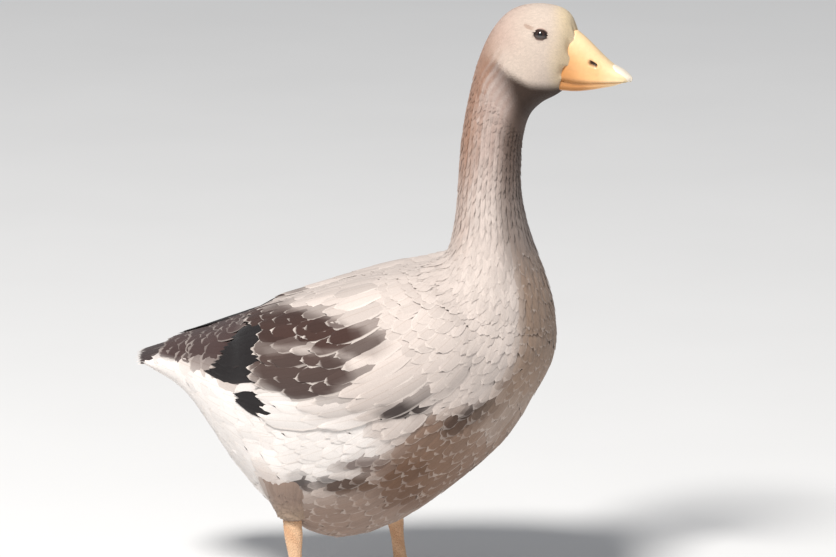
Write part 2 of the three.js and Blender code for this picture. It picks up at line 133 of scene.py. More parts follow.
section_rows = np.array(list(SECTIONS.values()), float)
middles = (section_rows[:, 0:2] + section_rows[:, 2:4]) / 2
strides = np.hypot(*np.diff(middles, axis=0).T)
strides = strides + BACK_SHARE * np.hypot(*np.diff(section_rows[:, 0:2], axis=0).T)
STATION_T = dict(zip(SECTIONS, np.r_[0, np.cumsum(strides)] / strides.sum()))
BACK_X, BACK_Z, BELLY_X, BELLY_Z, HALF_WIDTH, DEPTH, LENGTH, WIDTH = range(8)


def along_body(column, t):
    """A column of SECTIONS at body share t, in metres."""
    return np.interp(t, list(STATION_T.values()), section_rows[:, column]) * MM


def by_station(table, t):
    """The value at t of a table from section names to values."""
    return np.interp(t, [STATION_T[name] for name in table], list(table.values()))


def solid_of(nodes):
    """One ray-casting tree over some CAD nodes."""
    points, faces = [], []
    for name in nodes:
        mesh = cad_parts[name].data
        start = len(points)
        points += [v.co.copy() for v in mesh.vertices]
        faces += [[start + i for i in face.vertices] for face in mesh.polygons]
    return BVHTree.FromPolygons(points, faces)


def cast_form(solid, centres, ups, sides):
    """The outermost surface round a line of ellipses, as a grid of points."""
    grid = np.full((len(centres), SPOKES, 3), np.nan)
    angles = TURN * np.arange(SPOKES) / SPOKES
    for i, (centre, up, side) in enumerate(zip(centres, ups, sides)):
        for j, angle in enumerate(angles):
            arm = up * math.cos(angle) + side * math.sin(angle)
            outward = arm / np.linalg.norm(arm)
            start = Vector(centre + arm + outward * REACH)
            hit = solid.ray_cast(start, Vector(-outward), 2.4 * REACH)[0]
            if hit:
                grid[i, j] = hit
    for j in range(SPOKES):
        for k in range(3):
            column = grid[:, j, k]
            lost = np.isnan(column)
            column[lost] = np.interp(np.flatnonzero(lost), np.flatnonzero(~lost), column[~lost])
    return grid


def smoothed(grid, passes):
    """A grid of points, evened out along and round."""
    grid = grid.copy()
    for _ in range(passes):
        grid = (np.roll(grid, 1, 1) + 2 * grid + np.roll(grid, -1, 1)) / 4
        grid[1:-1] = (grid[:-2] + 2 * grid[1:-1] + grid[2:]) / 4
    return grid


class Surface:
    """Something that vanes lie on: a place for each t along it and a across it."""

    def moved(self, t, a, move):
        """The place a tangent move away from a place."""
        _, _, by_t, by_a = self.at(t, a)
        tt, ta, aa = dot(by_t, by_t), dot(by_t, by_a), dot(by_a, by_a)
        scale = np.maximum(tt * aa - ta * ta, 1e-14)
        along, round_it = dot(by_t, move), dot(by_a, move)
        return t + (aa * along - ta * round_it) / scale, a + (tt * round_it - ta * along) / scale


class Sheet(Surface):
    """A surface given by a function from t and a to places."""

    def __init__(self, place):
        self.place = place

    def at(self, t, a):
        step = 1e-4
        by_t = (self.place(t + step, a) - self.place(t - step, a)) / (2 * step)
        by_a = (self.place(t, a + step) - self.place(t, a - step)) / (2 * step)
        return self.place(t, a), unit(np.cross(by_a, by_t)), by_t, by_a


class Form(Surface):
    """A surface on a grid: share t along it and angle a round it."""

    def __init__(self, points):
        self.points = points
        by_t = np.gradient(points, axis=0) * (len(points) - 1)
        by_a = (np.roll(points, -1, 1) - np.roll(points, 1, 1)) / 2 * points.shape[1] / TURN
        self.normals = unit(np.cross(by_a, by_t))
        self.fields = np.concatenate([points, self.normals, by_t, by_a], axis=2)

    def at(self, t, a):
        """Point, outward normal, and what one unit of t and of a moves it by."""
        t, a = np.broadcast_arrays(t, a)
        count, around = self.points.shape[:2]
        inside = np.clip(t, 0, 1)
        row = inside * (count - 1)
        column = a / TURN % 1 * around
        r = np.minimum(row.astype(int), count - 2)
        c = column.astype(int) % around
        after = (c + 1) % around
        down = (row - r)[..., None]
        over = (column - np.floor(column))[..., None]
        upper = self.fields[r, c] * (1 - over) + self.fields[r, after] * over
        lower = self.fields[r + 1, c] * (1 - over) + self.fields[r + 1, after] * over
        point, normal, by_t, by_a = np.split(upper * (1 - down) + lower * down, 4, axis=-1)
        return point + (t - inside)[..., None] * by_t, unit(normal), by_t, by_a


def body_forms():
    """The goose's outer form, and its skin under the coat."""
    t = np.linspace(0, 1, RINGS)
    zero = np.zeros_like(t)
    back = np.stack([along_body(BACK_X, t), zero, along_body(BACK_Z, t)], 1)
    belly = np.stack([along_body(BELLY_X, t), zero, along_body(BELLY_Z, t)], 1)
    sides = np.stack([zero, along_body(HALF_WIDTH, t), zero], 1)
    solid = solid_of(FLESH + ["eye_right", "eye_left"])
    grid = cast_form(solid, (back + belly) / 2, (back - belly) / 2, sides)
    coat_top = Form(smoothed(grid, 7))
    depth = along_body(DEPTH, t)[:, None, None]
    return coat_top, Form(smoothed(coat_top.points - coat_top.normals * depth, 3))


outer, under = body_forms()

# ---------------------------------------------------------------- colours and markings

COLOURS = {
    "body": "#c9bdb6",
    "head": "#c9b9ac",
    "lores": "#dcc7a0",
    "crown": "#b99f93",
    "neck side": "#aa958c",
    # also the colour of the shadow painted above and behind the eye
    "neck back": "#94705c",
    # partly the neck's own brown front, partly painted shade down the front of the neck
    "neck front and shade": "#5d4c43",
    # painted shadow: the dark under the jaw and on the throat
    "throat": "#3b2c24",
    # partly the breast's own brown, partly painted shade along its underside
    "breast": "#97806f",
    # painted shade: the warm brown of the underside in shadow
    "belly": "#755844",
    # painted shade on the lower thighs, under the belly
    "thigh": "#a8937f",
    "white": "#e6e0dc",
    "rump": "#43312f",
    "scapular": "#3d2822",
    "flank bar": "#462c22",
    "quill": "#171213",
    "tail": "#3a2e2d",
    "fringe": "#e2d7cf",
    "bill": "#e6b27b",
    # the root's own brown, also painted shade under the root of the lower half
    "bill root": "#b87c44",
    "bill tip": "#f0dcb2",
    "nail": "#f3e6d2",
    "nostril": "#3a241a",
    "leg": "#ddb793",
    "leg shade": "#bd8256",
    "claw": "#8d7460",
    "iris": "#341e13",
    "pupil": "#070505",
    # partly the lids' own dark rim, partly painted shade round the eye
    "lid": "#3a2a22",
    "dark": "#2c201e",
}


def linear(hex_colour):
    """An sRGB hex colour as linear red, green and blue."""
    parts = [int(hex_colour[i:i + 2], 16) / 255 for i in (1, 3, 5)]
    return np.array([p / 12.92 if p <= 0.04045 else ((p + 0.055) / 1.055) ** 2.4 for p in parts])


INK = {name: linear(colour) for name, colour in COLOURS.items()}

# Soft patches of colour on the flanks, in side view: colour, middle x and z, half length,
# half height in mm, tilt in degrees, strength.
PATCHES = [
    ("white", -62, 205, 100, 52, -6, 0.9),
    ("body", 20, 250, 70, 25, 0, 0.6),
    # the belly patch is painted shade low on the breast and belly
    ("belly", 86, 184, 75, 38, 40, 0.85),
    ("flank bar", 172, 262, 18, 16, 40, 0.7),
    ("dark", 130, 232, 32, 12, 25, 0.95),
    ("dark", 61, 242, 25, 9, 6, 0.95),
    ("flank bar", 10, 175, 34, 9, 0, 0.8),
    ("flank bar", 60, 166, 24, 12, 20, 0.9),
    ("flank bar", 40, 140, 24, 24, 30, 0.8),
    ("dark", -60, 151, 13, 11, 0, 0.9),
    ("dark", -8, 151, 34, 11, 2, 0.95),
    ("scapular", -62, 321, 66, 16, 2, 1.0),
    ("scapular", 22, 316, 32, 13, -6, 0.85),
    ("scapular", -50, 278, 60, 22, 2, 0.95),
    ("scapular", -112, 296, 34, 14, 38, 0.8),
]


def blend(ground, name, share):
    """Ground colours with a named colour laid over by share."""
    share = np.broadcast_to(np.clip(share, 0, 1), ground.shape[:-1])[..., None]
    return ground * (1 - share) + INK[name] * share


def patch(points, x, z, length, height, tilt):
    """1 inside a tilted ellipse in side view, fading over its uneven edge."""
    turn = math.radians(tilt)
    dx = points[..., 0] / MM - x
    dz = points[..., 2] / MM - z
    along = (dx * math.cos(turn) + dz * math.sin(turn)) / length
    across = (dz * math.cos(turn) - dx * math.sin(turn)) / height
    return smooth_step(1.25, 0.8, np.hypot(along, across) + 0.22 * wobble(points, 14 * MM))


# Edges in side view, as x and z in mm: the edge of the white stern, and the edge of the shadow painted
# under the jaw.
STERN_EDGE = [-281, -240, -173, -120, -98], [259, 267, 258, 241, 231]
JAW_SHADOW_EDGE = [140, 150, 178, 205, 220], [611, 603, 590, 586, 584]
EYE_AT = [sum(corner[k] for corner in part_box("eye_right")) / 2 / MM for k in (0, 2)]


def markings(points, t, a):
    """The plumage's colour at places on the body, with painted shade under the jaw, down the front of the
    neck, under the breast and belly, and behind the eye.
    """
    x, z = points[..., 0] / MM, points[..., 2] / MM
    backward = (1 + np.cos(a)) / 2  # 1 on the back line and 0 on the belly line
    uneven = wobble(points, 22 * MM)
    made = np.broadcast_to(INK["body"], points.shape).copy()
    for name, *place, strength in PATCHES:
        made = blend(made, name, patch(points, *place) * strength)
    # Painted shade: the underside from the low breast back is darkened to a warm brown.
    keel = smooth_step(STATION_T["breast low"], STATION_T["keel"], t)
    made = blend(made, "belly", keel * smooth_step(0.3, 0.14, backward) * 0.75)
    rump = smooth_step(0.72, 0.82, backward + 0.3 * smooth_step(-205, -235, x))
    made = blend(made, "rump", smooth_step(STATION_T["paunch"], STATION_T["vent front"], t) * rump)
    stern = smooth_step(-96, -116, x + 8 * uneven)
    made = blend(made, "white", stern * smooth_step(4, -4, z - np.interp(x, *STERN_EDGE)))
    on_neck = smooth_step(STATION_T["collar"], STATION_T["neck root"], t)
    streaks = 0.5 + 0.5 * np.sin(a * 26 + 3 * uneven)
    high = smooth_step(430, 535, z)
    neck = blend(made, "neck side", (0.7 + 0.3 * streaks) * (0.15 + 0.85 * high))
    nape = smooth_step(0.62, 0.9, backward + 0.12 * streaks)
    neck = blend(neck, "neck back", nape * (0.35 + 0.6 * high))
    # Partly its own brown, partly painted shade: the front of the neck is darkened, most near the head.
    neck = blend(neck, "neck front and shade", smooth_step(0.34, 0.1, backward) * (0.7 + 0.3 * high))
    # Partly the breast's own brown, partly painted shade: the breast's underside is darkened.
    breast = smooth_step(STATION_T["keel"], STATION_T["breast"], t)
    made = blend(made, "breast", smooth_step(0.16, 0.07, backward) * breast)
    made = made * (1 - on_neck[..., None]) + neck * on_neck[..., None]
    on_head = smooth_step(STATION_T["throat"], STATION_T["occiput"], t)[..., None]
    head = np.broadcast_to(INK["head"], points.shape)
    head = blend(head, "lores", smooth_step(186, 210, x + 5 * uneven) * 0.75)
    head = blend(head, "crown", smooth_step(176, 140, x + 6 * uneven) * smooth_step(605, 640, z) * 0.75)
    # Painted shadow under the jaw: the throat is dark below the jaw's shadow edge.
    head = blend(head, "throat", smooth_step(7, -7, z - (np.interp(x, *JAW_SHADOW_EDGE) + 3 * uneven)))
    made = made * (1 - on_head) + head * on_head
    # Painted shadow of the brow: a dark streak above and behind the eye, in the neck back's rufous.
    brow_shadow = patch(points, EYE_AT[0] - 13.5, EYE_AT[1] + 8, 5.5, 2.2, -25) * on_head[..., 0]
    return blend(made, "neck back", brow_shadow * 0.5)


# ---------------------------------------------------------------- node helpers and materials


def add(tree, kind, links=None, **settings):
    """Adds a node. Settings name its properties, or its sockets with _ for a space. Links
    name its sockets, or give their numbers, and what feeds them."""
    made = tree.nodes.new(kind)
    for name, value in settings.items():
        if hasattr(made, name):
            setattr(made, name, value)
        else:
            made.inputs[name.replace("_", " ")].default_value = value
    for name, source in (links or {}).items():
        tree.links.new(source, made.inputs[name])
    return made


def new_material(name, roughness, specular):
    """A material, its tree and its Principled node."""
    made = bpy.data.materials.new(name)
    made.use_nodes = True
    surface = made.node_tree.nodes["Principled BSDF"]
    surface.inputs["Roughness"].default_value = roughness
    surface.inputs["Specular IOR Level"].default_value = specular
    return made, made.node_tree, surface


def math_node(tree, operation, *values):
    """A Math node over sockets and numbers; gives its output."""
    made = add(tree, "ShaderNodeMath", operation=operation)
    for socket, value in zip(made.inputs, values):
        if isinstance(value, (int, float)):
            socket.default_value = value
        else:
            tree.links.new(value, socket)
    return made.outputs[0]


def ramp(tree, value, low, high):
    """0 below low, 1 above high."""
    return add(tree, "ShaderNodeMapRange", {"Value": value}, interpolation_type="SMOOTHSTEP",
               From_Min=low, From_Max=high).outputs["Result"]


def mix_colour(tree, share, one, other, blend_type="MIX"):
    """One colour with a share of another laid over it."""
    made = add(tree, "ShaderNodeMix", data_type="RGBA", blend_type=blend_type)
    sockets = (made.inputs["Factor"], made.inputs[6], made.inputs[7])
    for socket, value in zip(sockets, (share, one, other)):
        if isinstance(value, (int, float, tuple)):
            socket.default_value = value
        else:
            tree.links.new(value, socket)
    return made.outputs[2]


def object_noise(tree, scale, detail=2):
    """Noise over the object's own coordinates, scale per metre."""
    place = add(tree, "ShaderNodeTexCoord").outputs["Object"]
    return add(tree, "ShaderNodeTexNoise", {"Vector": place}, Scale=scale, Detail=detail).outputs["Fac"]


def mark_colour(tree, name="mark"):
    """The colour that a mesh holds at each of its points."""
    return add(tree, "ShaderNodeAttribute", attribute_name=name).outputs["Color"]


def painted(tree, surface, ground, tone, relief, strength, distance):
    """Gives a surface its colour, lighter or darker by tone, and its relief."""
    grey = add(tree, "ShaderNodeCombineColor", {"Red": tone, "Green": tone, "Blue": tone}).outputs[0]
    tree.links.new(mix_colour(tree, 1.0, ground, grey, "MULTIPLY"), surface.inputs["Base Color"])
    bump = add(tree, "ShaderNodeBump", {"Height": relief}, Strength=strength, Distance=distance)
    tree.links.new(bump.outputs["Normal"], surface.inputs["Normal"])


BARBS = 190.0  # radians of barb pattern along a vane
BARB_SLANT = 0.55
SHAFT = (0.03, 0.012)  # where the shaft's tint ends, as shares of the vane's width
SHAFT_TINT = (0.75, 0.68, 0.62, 1)


def feather_material(name, side_from, tip_from, roughness):
    """Vanes: the mark colour, a fringe at the edge, barbs slanting off a fine shaft."""
    made, tree, surface = new_material(name, roughness, 0.25)
    surface.inputs["Sheen Weight"].default_value = 0.15
    vane = add(tree, "ShaderNodeUVMap", uv_map="Vane").outputs["UV"]
    split = add(tree, "ShaderNodeSeparateXYZ", {"Vector": vane})
    off_shaft = math_node(tree, "ABSOLUTE", math_node(tree, "SUBTRACT", split.outputs["X"], 0.5))
    along = split.outputs["Y"]
    slant = math_node(tree, "SUBTRACT", along, math_node(tree, "MULTIPLY", off_shaft, BARB_SLANT))
    barbs = math_node(tree, "SINE", math_node(tree, "MULTIPLY", slant, BARBS))
    clumps = object_noise(tree, 900)
    edge = math_node(tree, "MAXIMUM", ramp(tree, off_shaft, side_from / 2, side_from / 2 + 0.07),
                     ramp(tree, along, tip_from, tip_from + 0.05))
    shaft = math_node(tree, "MULTIPLY", ramp(tree, off_shaft, *SHAFT), 0.35)
    ground = mix_colour(tree, edge, mark_colour(tree), mark_colour(tree, "edge"))
    ground = mix_colour(tree, shaft, ground, SHAFT_TINT, "MULTIPLY")
    tone = math_node(tree, "ADD", 0.86, math_node(tree, "MULTIPLY", clumps, 0.28))
    tone = math_node(tree, "ADD", tone, math_node(tree, "MULTIPLY", barbs, 0.035))
    relief = math_node(tree, "ADD", math_node(tree, "MULTIPLY", barbs, 0.4), clumps)
    painted(tree, surface, ground, tone, relief, 0.35, 0.4 * MM)
    return made


def marked_material(name, roughness, specular, grain, depth, coat=0.0, contrast=0.3):
    """The mark colour with a grain of so many waves per metre, raised by depth metres."""
    made, tree, surface = new_material(name, roughness, specular)
    surface.inputs["Coat Weight"].default_value = coat
    surface.inputs["Coat Roughness"].default_value = 0.15
    noise = object_noise(tree, grain, 4)
    tone = math_node(tree, "ADD", 1 - contrast / 2, math_node(tree, "MULTIPLY", noise, contrast))
    painted(tree, surface, mark_colour(tree), tone, noise, 0.5, depth)
    return made


MATERIALS = {
    "skin": marked_material("goose_skin", 0.7, 0.3, 400, 0.0005),
    "down": feather_material("small_feathers", 0.88, 0.94, 0.85),
    "contour": feather_material("contour_feathers", 0.78, 0.88, 0.8),
    "long": feather_material("long_wing_feathers", 0.72, 0.925, 0.75),
    "quill": feather_material("flight_feathers", 0.84, 0.96, 0.62),
    "bill": marked_material("bill_horn", 0.42, 0.4, 260, 0.0003, 0.15, 0.22),
    "nail": marked_material("bill_nail_horn", 0.35, 0.45, 300, 0.0001, 0.2, 0.15),
    "eye": marked_material("eye_gloss", 0.06, 0.6, 1500, 0.00002, 0.9, 0.25),
    "lid": marked_material("eyelid_skin", 0.55, 0.35, 2200, 0.0002),
    "leg": marked_material("leg_scales", 0.5, 0.4, 500, 0.0004, 0.05, 0.35),
    "claw": marked_material("claw_horn", 0.4, 0.4, 600, 0.0001),
}

# ---------------------------------------------------------------- meshes


def mesh_object(name, points, faces, material):
    """A smooth-shaded object at the origin, from arrays of points and of quads or triangles."""
    points = np.asarray(points, np.float32).reshape(-1, 3)
    faces = np.asarray(faces, np.int32)
    mesh = bpy.data.meshes.new(name)
    mesh.vertices.add(len(points))
    mesh.vertices.foreach_set("co", points.ravel())
    mesh.loops.add(faces.size)
    mesh.loops.foreach_set("vertex_index", faces.ravel())
    mesh.polygons.add(len(faces))
    mesh.polygons.foreach_set("loop_start", np.arange(0, faces.size, faces.shape[1], dtype=np.int32))
    mesh.polygons.foreach_set("use_smooth", np.ones(len(faces), bool))
    mesh.update(calc_edges=True)
    mesh.materials.append(material)
    made = bpy.data.objects.new(name, mesh)
    bpy.context.scene.collection.objects.link(made)
    return made


def set_colour(made, name, colours):
    """A colour attribute with one colour for each vertex, or one for all."""
    count = len(made.data.vertices)
    values = np.ones((count, 4), np.float32)
    values[:, :3] = colours
    made.data.attributes.new(name, "FLOAT_COLOR", "POINT").data.foreach_set("color", values.ravel())


def set_uv(made, name, places):
    """A UV map from one place for each vertex."""
    loops = np.empty(len(made.data.loops), np.int32)
    made.data.loops.foreach_get("vertex_index", loops)
    corners = np.asarray(places, np.float32)[loops]
    made.data.uv_layers.new(name=name).data.foreach_set("uv", corners.ravel())


def vertices_of(made):
    """An object's points as an array."""
    values = np.empty(len(made.data.vertices) * 3)
    made.data.vertices.foreach_get("co", values)
    return values.reshape(-1, 3)


def quads_over(grid):
    """Quads between the neighbours in a grid of point numbers."""
    corners = [grid[:-1, :-1], grid[:-1, 1:], grid[1:, 1:], grid[1:, :-1]]
    return np.stack(corners, -1).reshape(-1, 4)


def ring_quads(rows, around):
    """Quads over a grid of rings, each ring closed."""
    grid = np.arange(rows * around).reshape(rows, around)
    return quads_over(np.concatenate([grid, grid[:, :1]], 1))


def capped(rings):
    """Points and triangles of a closed solid through rings."""
    rows, around = rings.shape[:2]
    points = np.concatenate([rings.reshape(-1, 3), [rings[0].mean(0), rings[-1].mean(0)]])
    first = rows * around
    ring = np.arange(around)
    after = (ring + 1) % around
    last = (rows - 1) * around
    start = np.stack([np.full(around, first), after, ring], 1)
    finish = np.stack([np.full(around, first + 1), last + ring, last + after], 1)
    quads = ring_quads(rows, around)
    return points, np.concatenate([start, finish, quads[:, [0, 1, 2]], quads[:, [0, 2, 3]]])


def finished(made, slot, *nodes):
    """Puts a piece on the body and hides the CAD nodes it stands for."""
    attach(made, "root")
    if nodes:
        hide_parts(*nodes)


# ---------------------------------------------------------------- vanes

# Outlines of vanes: how far along each row of points is, and its half width as a share.
OUTLINES = {
    "tuft": ([0, 0.6, 1], [0.7, 1, 0.3], 3),
    "hackle": ([0, 0.3, 0.6, 0.85, 1], [0.4, 0.95, 1, 0.75, 0.2], 3),
    "contour": ([0, 0.2, 0.42, 0.64, 0.82, 0.94, 1], [0.3, 0.75, 0.97, 1, 0.88, 0.62, 0.22], 5),
    "covert": ([0, 0.15, 0.32, 0.5, 0.66, 0.8, 0.9, 0.965, 1],
               [0.25, 0.6, 0.85, 0.97, 1, 0.93, 0.76, 0.5, 0.16], 7),
    "quill": ([0, 0.1, 0.22, 0.34, 0.46, 0.58, 0.7, 0.8, 0.88, 0.94, 0.98, 1],
              [0.3, 0.6, 0.8, 0.93, 1, 1, 0.97, 0.9, 0.76, 0.56, 0.34, 0.12], 7),
    "tail": ([0, 0.1, 0.25, 0.4, 0.55, 0.7, 0.82, 0.9, 0.95, 0.98, 1],
             [0.4, 0.6, 0.8, 0.92, 1, 1, 0.99, 0.95, 0.84, 0.62, 0.3], 7),
}
PATCH = 0.003  # width of one vane's patch on the bake map


def vane_quads(rows, columns):
    """Quads of one closed vane: a top sheet and an under sheet that share their rim."""
    top = np.arange(rows * columns).reshape(rows, columns)
    low = top.copy()
    low[1:-1, 1:-1] = rows * columns + np.arange((rows - 2) * (columns - 2)).reshape(rows - 2, -1)
    return np.concatenate([quads_over(top), quads_over(low)[:, ::-1]])


def two_sheets(top, low):
    """What the top sheet's points have, and then what the under sheet's own points have."""
    count, size = len(top), top.shape[-1]
    return np.concatenate([top.reshape(count, -1, size), low[:, 1:-1, 1:-1].reshape(count, -1, size)], 1)


class Coat:
    """Feathers gathered into one piece."""

    def __init__(self, name, material):
        self.name, self.material = name, material
        self.parts = []

    def lay(self, form, roots, tips, width, outline, depth, rise, camber, lap=0.0, ragged=0.06,
            raised=0.0, colour=None, edge=("fringe", 0.0), tip=None, local=0.3, spread=0.1,
            thickness=0.25 * MM, bow=0.08, blades=0.0, uneven=0.25 * MM):
        """Lays one vane for each root and tip, both (t, a) on the form. depth is how far under
        the surface its root is and rise how far its seen part still climbs. camber arches it
        across, lap lifts the edge away from the back line, and bow rounds its end. ragged,
        blades and uneven roughen its outline, its edges' height and its own height. It takes
        the markings of where its tip lies, and by the share local those of each of its
        points. spread is how far tones differ from vane to vane."""
        (t0, a0), (t1, a1) = (np.broadcast_arrays(*place) for place in (roots, tips))
        count = len(t0)
        steps, shares, columns = OUTLINES[outline]
        u = np.array(steps)[None, :, None]
        rows = len(steps)
        c = np.linspace(-1, 1, columns)[None, None, :]
        jag = rng.uniform(-1, 1, (count, rows, columns))
        jag[:, 0] = 0
        width = np.broadcast_to(width, (count,))
        half = width[:, None, None] / 2 * np.array(shares)[None, :, None]
        half = half * (1 + ragged * jag * np.abs(c))
        onward = u * (1 - bow * c * c * u) + ragged * 0.5 * jag * u * u * u
        t = t0[:, None, None] + (t1 - t0)[:, None, None] * onward
        a = a0[:, None, None] + (a1 - a0)[:, None, None] * onward
        _, normal, by_t, by_a = form.at(t, a)
        heading = unit(by_t * (t1 - t0)[:, None, None, None] + by_a * (a1 - a0)[:, None, None, None])
        side = np.cross(heading, normal)
        t, a = form.moved(t, a, side * (half * c)[..., None])
        point, normal, _, _ = form.at(t, a)
        vary = rng.uniform(0.6, 1.4, (count, 1, 1))
        sink = np.maximum(1 - u / 0.4, 0) ** 2
        height = -(depth - rise) * sink - rise * (1 - u) * vary + raised
        height = height - camber * c * c * np.minimum(1, 2 * u) + lap * c * np.sin(a0)[:, None, None]
        height = height + rng.uniform(-uneven, uneven, (count, 1, 1)) + blades * jag * np.abs(c) * u
        top = point + normal * height[..., None]
        points = two_sheets(top, top - normal * thickness)
        across = np.broadcast_to((c + 1) / 2, top.shape[:3])
        along = np.broadcast_to(u, top.shape[:3])
        vane = np.stack([across, along], -1)
        vane = two_sheets(vane, vane)
        if colour is None:
            seen_t, seen_a = t0 + 0.75 * (t1 - t0), a0 + 0.75 * (a1 - a0)
            each = markings(form.at(seen_t, seen_a)[0], seen_t, seen_a)[:, None]
            every = markings(top, t, a)
            ground = each * (1 - local) + two_sheets(every, every) * local
        else:
            ground = INK[colour] if isinstance(colour, str) else colour[:, None]
            ground = np.broadcast_to(ground, points.shape)
        ground = ground * rng.uniform(1 - spread, 1 + spread * 0.8, (count, 1, 1))
        edge = blend(ground, edge[0], edge[1] * rng.uniform(0.45, 1.15, (count, 1)))
        if tip is not None:
            at_tip = smooth_step(0.955, 0.985, vane[..., 1])
            ground, edge = (blend(shade, tip, at_tip) for shade in (ground, edge))
        self.parts.append({"points": points, "vane": vane, "ground": ground, "edge": edge,
                           "root": np.stack([a0, t0], 1), "quads": vane_quads(rows, columns)})

    def finish(self, slot, *nodes):
        """Makes the piece, with its colours and its two maps."""
        points, quads, vane, patches, colours, edges = [], [], [], [], [], []
        roots = np.concatenate([part["root"] for part in self.parts])
        low = roots.min(0)
        extent = np.maximum(roots.max(0) - low, 1e-9)  # the tail's quills all start at t 0
        start = 0
        for part in self.parts:
            count, each = part["points"].shape[:2]
            points.append(part["points"].reshape(-1, 3))
            firsts = start + np.arange(count)[:, None, None] * each
            quads.append((part["quads"][None] + firsts).reshape(-1, 4))
            vane.append(part["vane"].reshape(-1, 2))
            places = 0.01 + 0.98 * (part["root"] - low) / extent
            patches.append((places[:, None] + (part["vane"] - 0.5) * PATCH).reshape(-1, 2))
            colours.append(part["ground"].reshape(-1, 3))
            edges.append(part["edge"].reshape(-1, 3))
            start += count * each
        made = mesh_object(self.name, np.concatenate(points), np.concatenate(quads), self.material)
        set_uv(made, "OFBake", np.concatenate(patches))
        set_uv(made, "Vane", np.concatenate(vane))
        set_colour(made, "mark", np.concatenate(colours))
        set_colour(made, "edge", np.concatenate(edges))
        made.data.set_sharp_from_angle(angle=math.radians(80))
        finished(made, slot, *nodes)
        print("piece", self.name, 2 * len(made.data.polygons), "triangles")


def plumage_rows(form, first, last, overlap, spacing, scale=1.0):
    """Staggered roots all round the body from one t to another. Gives the root's t and a, and
    the steps of t and a that one feather's length and width take."""
    t, made, row = first, [], 0
    quarter = np.array([-1.2, 1.2])
    spokes = np.linspace(0, TURN, 48, endpoint=False)
    while t < last:
        _, _, by_t, _ = form.at(t, quarter)
        step = along_body(LENGTH, t) * scale * overlap / np.linalg.norm(by_t, axis=-1).mean()
        girth = np.linalg.norm(form.at(t, spokes)[3], axis=-1).mean() * TURN
        count = int(girth / (along_body(WIDTH, t) * scale * spacing))
        a = (np.arange(count) + 0.5 * (row % 2)) / count * TURN
        made.append(np.stack([np.full(count, t), a, np.full(count, step / overlap),
                              np.full(count, TURN / count / spacing)], 1))
        t += step
        row += 1
    return np.concatenate(made).T


def degrees_from_back(a):
    """How far round from the back line, 0 to 180 degrees, on either side."""
    turned = np.degrees(a) % 360
    return np.minimum(turned, 360 - turned)


# The folded wing's edges, in degrees from the back line.
WING_LOW = {"neck root": 8, "collar": 48, "breast top": 88, "breast": 110, "breast low": 117,
            "keel": 104, "belly": 92, "paunch": 83, "vent front": 68}
WING_TOP = {"neck root": 24, "collar": 20, "breast": 15, "paunch": 13, "vent front": 30}


def in_wing(t, a, margin=0.0):
    """Whether a place is on the folded wing, margin degrees inside its edges."""
    turned = degrees_from_back(a)
    inside = (turned < by_station(WING_LOW, t) - margin) & (turned > by_station(WING_TOP, t) + margin)
    return inside & (t > STATION_T["collar"]) & (t < STATION_T["vent front"])


def scattered(roots, t_share=0.12, a_share=0.1):
    """Roots moved about by a share of a feather's size."""
    t, a, dt, da = roots
    count = len(t)
    return np.stack([t + dt * rng.uniform(-t_share, t_share, count),
                     a + da * rng.uniform(-a_share, a_share, count), dt, da])


def lay_rows(coat, form, roots, outline, **how):
    """Lays a vane at each root, along the body, turned a little at random."""
    t, a, dt, da = roots
    count = len(t)
    size = rng.uniform(0.9, 1.1, count)
    drift = rng.normal(0, 0.14, count)
    width = np.linalg.norm(form.at(t, a)[3], axis=-1) * da * size
    coat.lay(form, (t, a), (t + dt * size, a + da * drift), width, outline, **how)


def eye_places():
    """Each eye's middle and radius, from its CAD node."""
    made = {}
    for side in SIDES:
        low, high = (np.array(corner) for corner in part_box("eye_" + side))
        made[side] = ((low + high) / 2, (high[2] - low[2]) / 2)
    return made


EYES = eye_places()
LIDS = (6.9 * MM, 5.7 * MM)  # half length and half height of the bare skin round an eye


def coat_depth(roots, share):
    """A share of the coat's depth at each root, shaped as Coat.lay takes it."""
    return along_body(DEPTH, roots[0])[:, None, None] * share


def coat_head():
    """Fine tufts that start inside the bill's root and end short where an eye is behind them."""
    coat = Coat("head_feathers", MATERIALS["down"])
    roots = plumage_rows(outer, -0.007, STATION_T["throat"], overlap=0.355, spacing=0.59)
    roots = scattered(roots, 0.14, 0.16)
    points = outer.at(roots[0], roots[1])[0]
    clear = np.ones(len(points), bool)
    for middle, _ in EYES.values():
        x, z = (points - middle)[:, [0, 2]].T
        level = np.abs(z) < LIDS[1]
        front = LIDS[0] * np.maximum(1 - np.abs(z / LIDS[1]) ** 3, 0) ** (1 / 3)
        ahead = x - 1.07 * front
        long = along_body(LENGTH, roots[0])
        roots[2] *= np.where(level & (ahead > 0), np.clip(ahead / long, 0.3, 1), 1)
        behind = -front - x
        clear &= ~level | (ahead > 1.7 * MM) | (behind > 0.3 * MM)
    roots = roots[:, clear] * [[1], [1], [1.08], [1.16]]
    lay_rows(coat, outer, roots, "tuft", depth=coat_depth(roots, 0.34), rise=0.2 * MM, camber=0.12 * MM,
             thickness=0.1 * MM, spread=0.06, ragged=0.12, uneven=0.04 * MM)
    coat.finish("plumage")


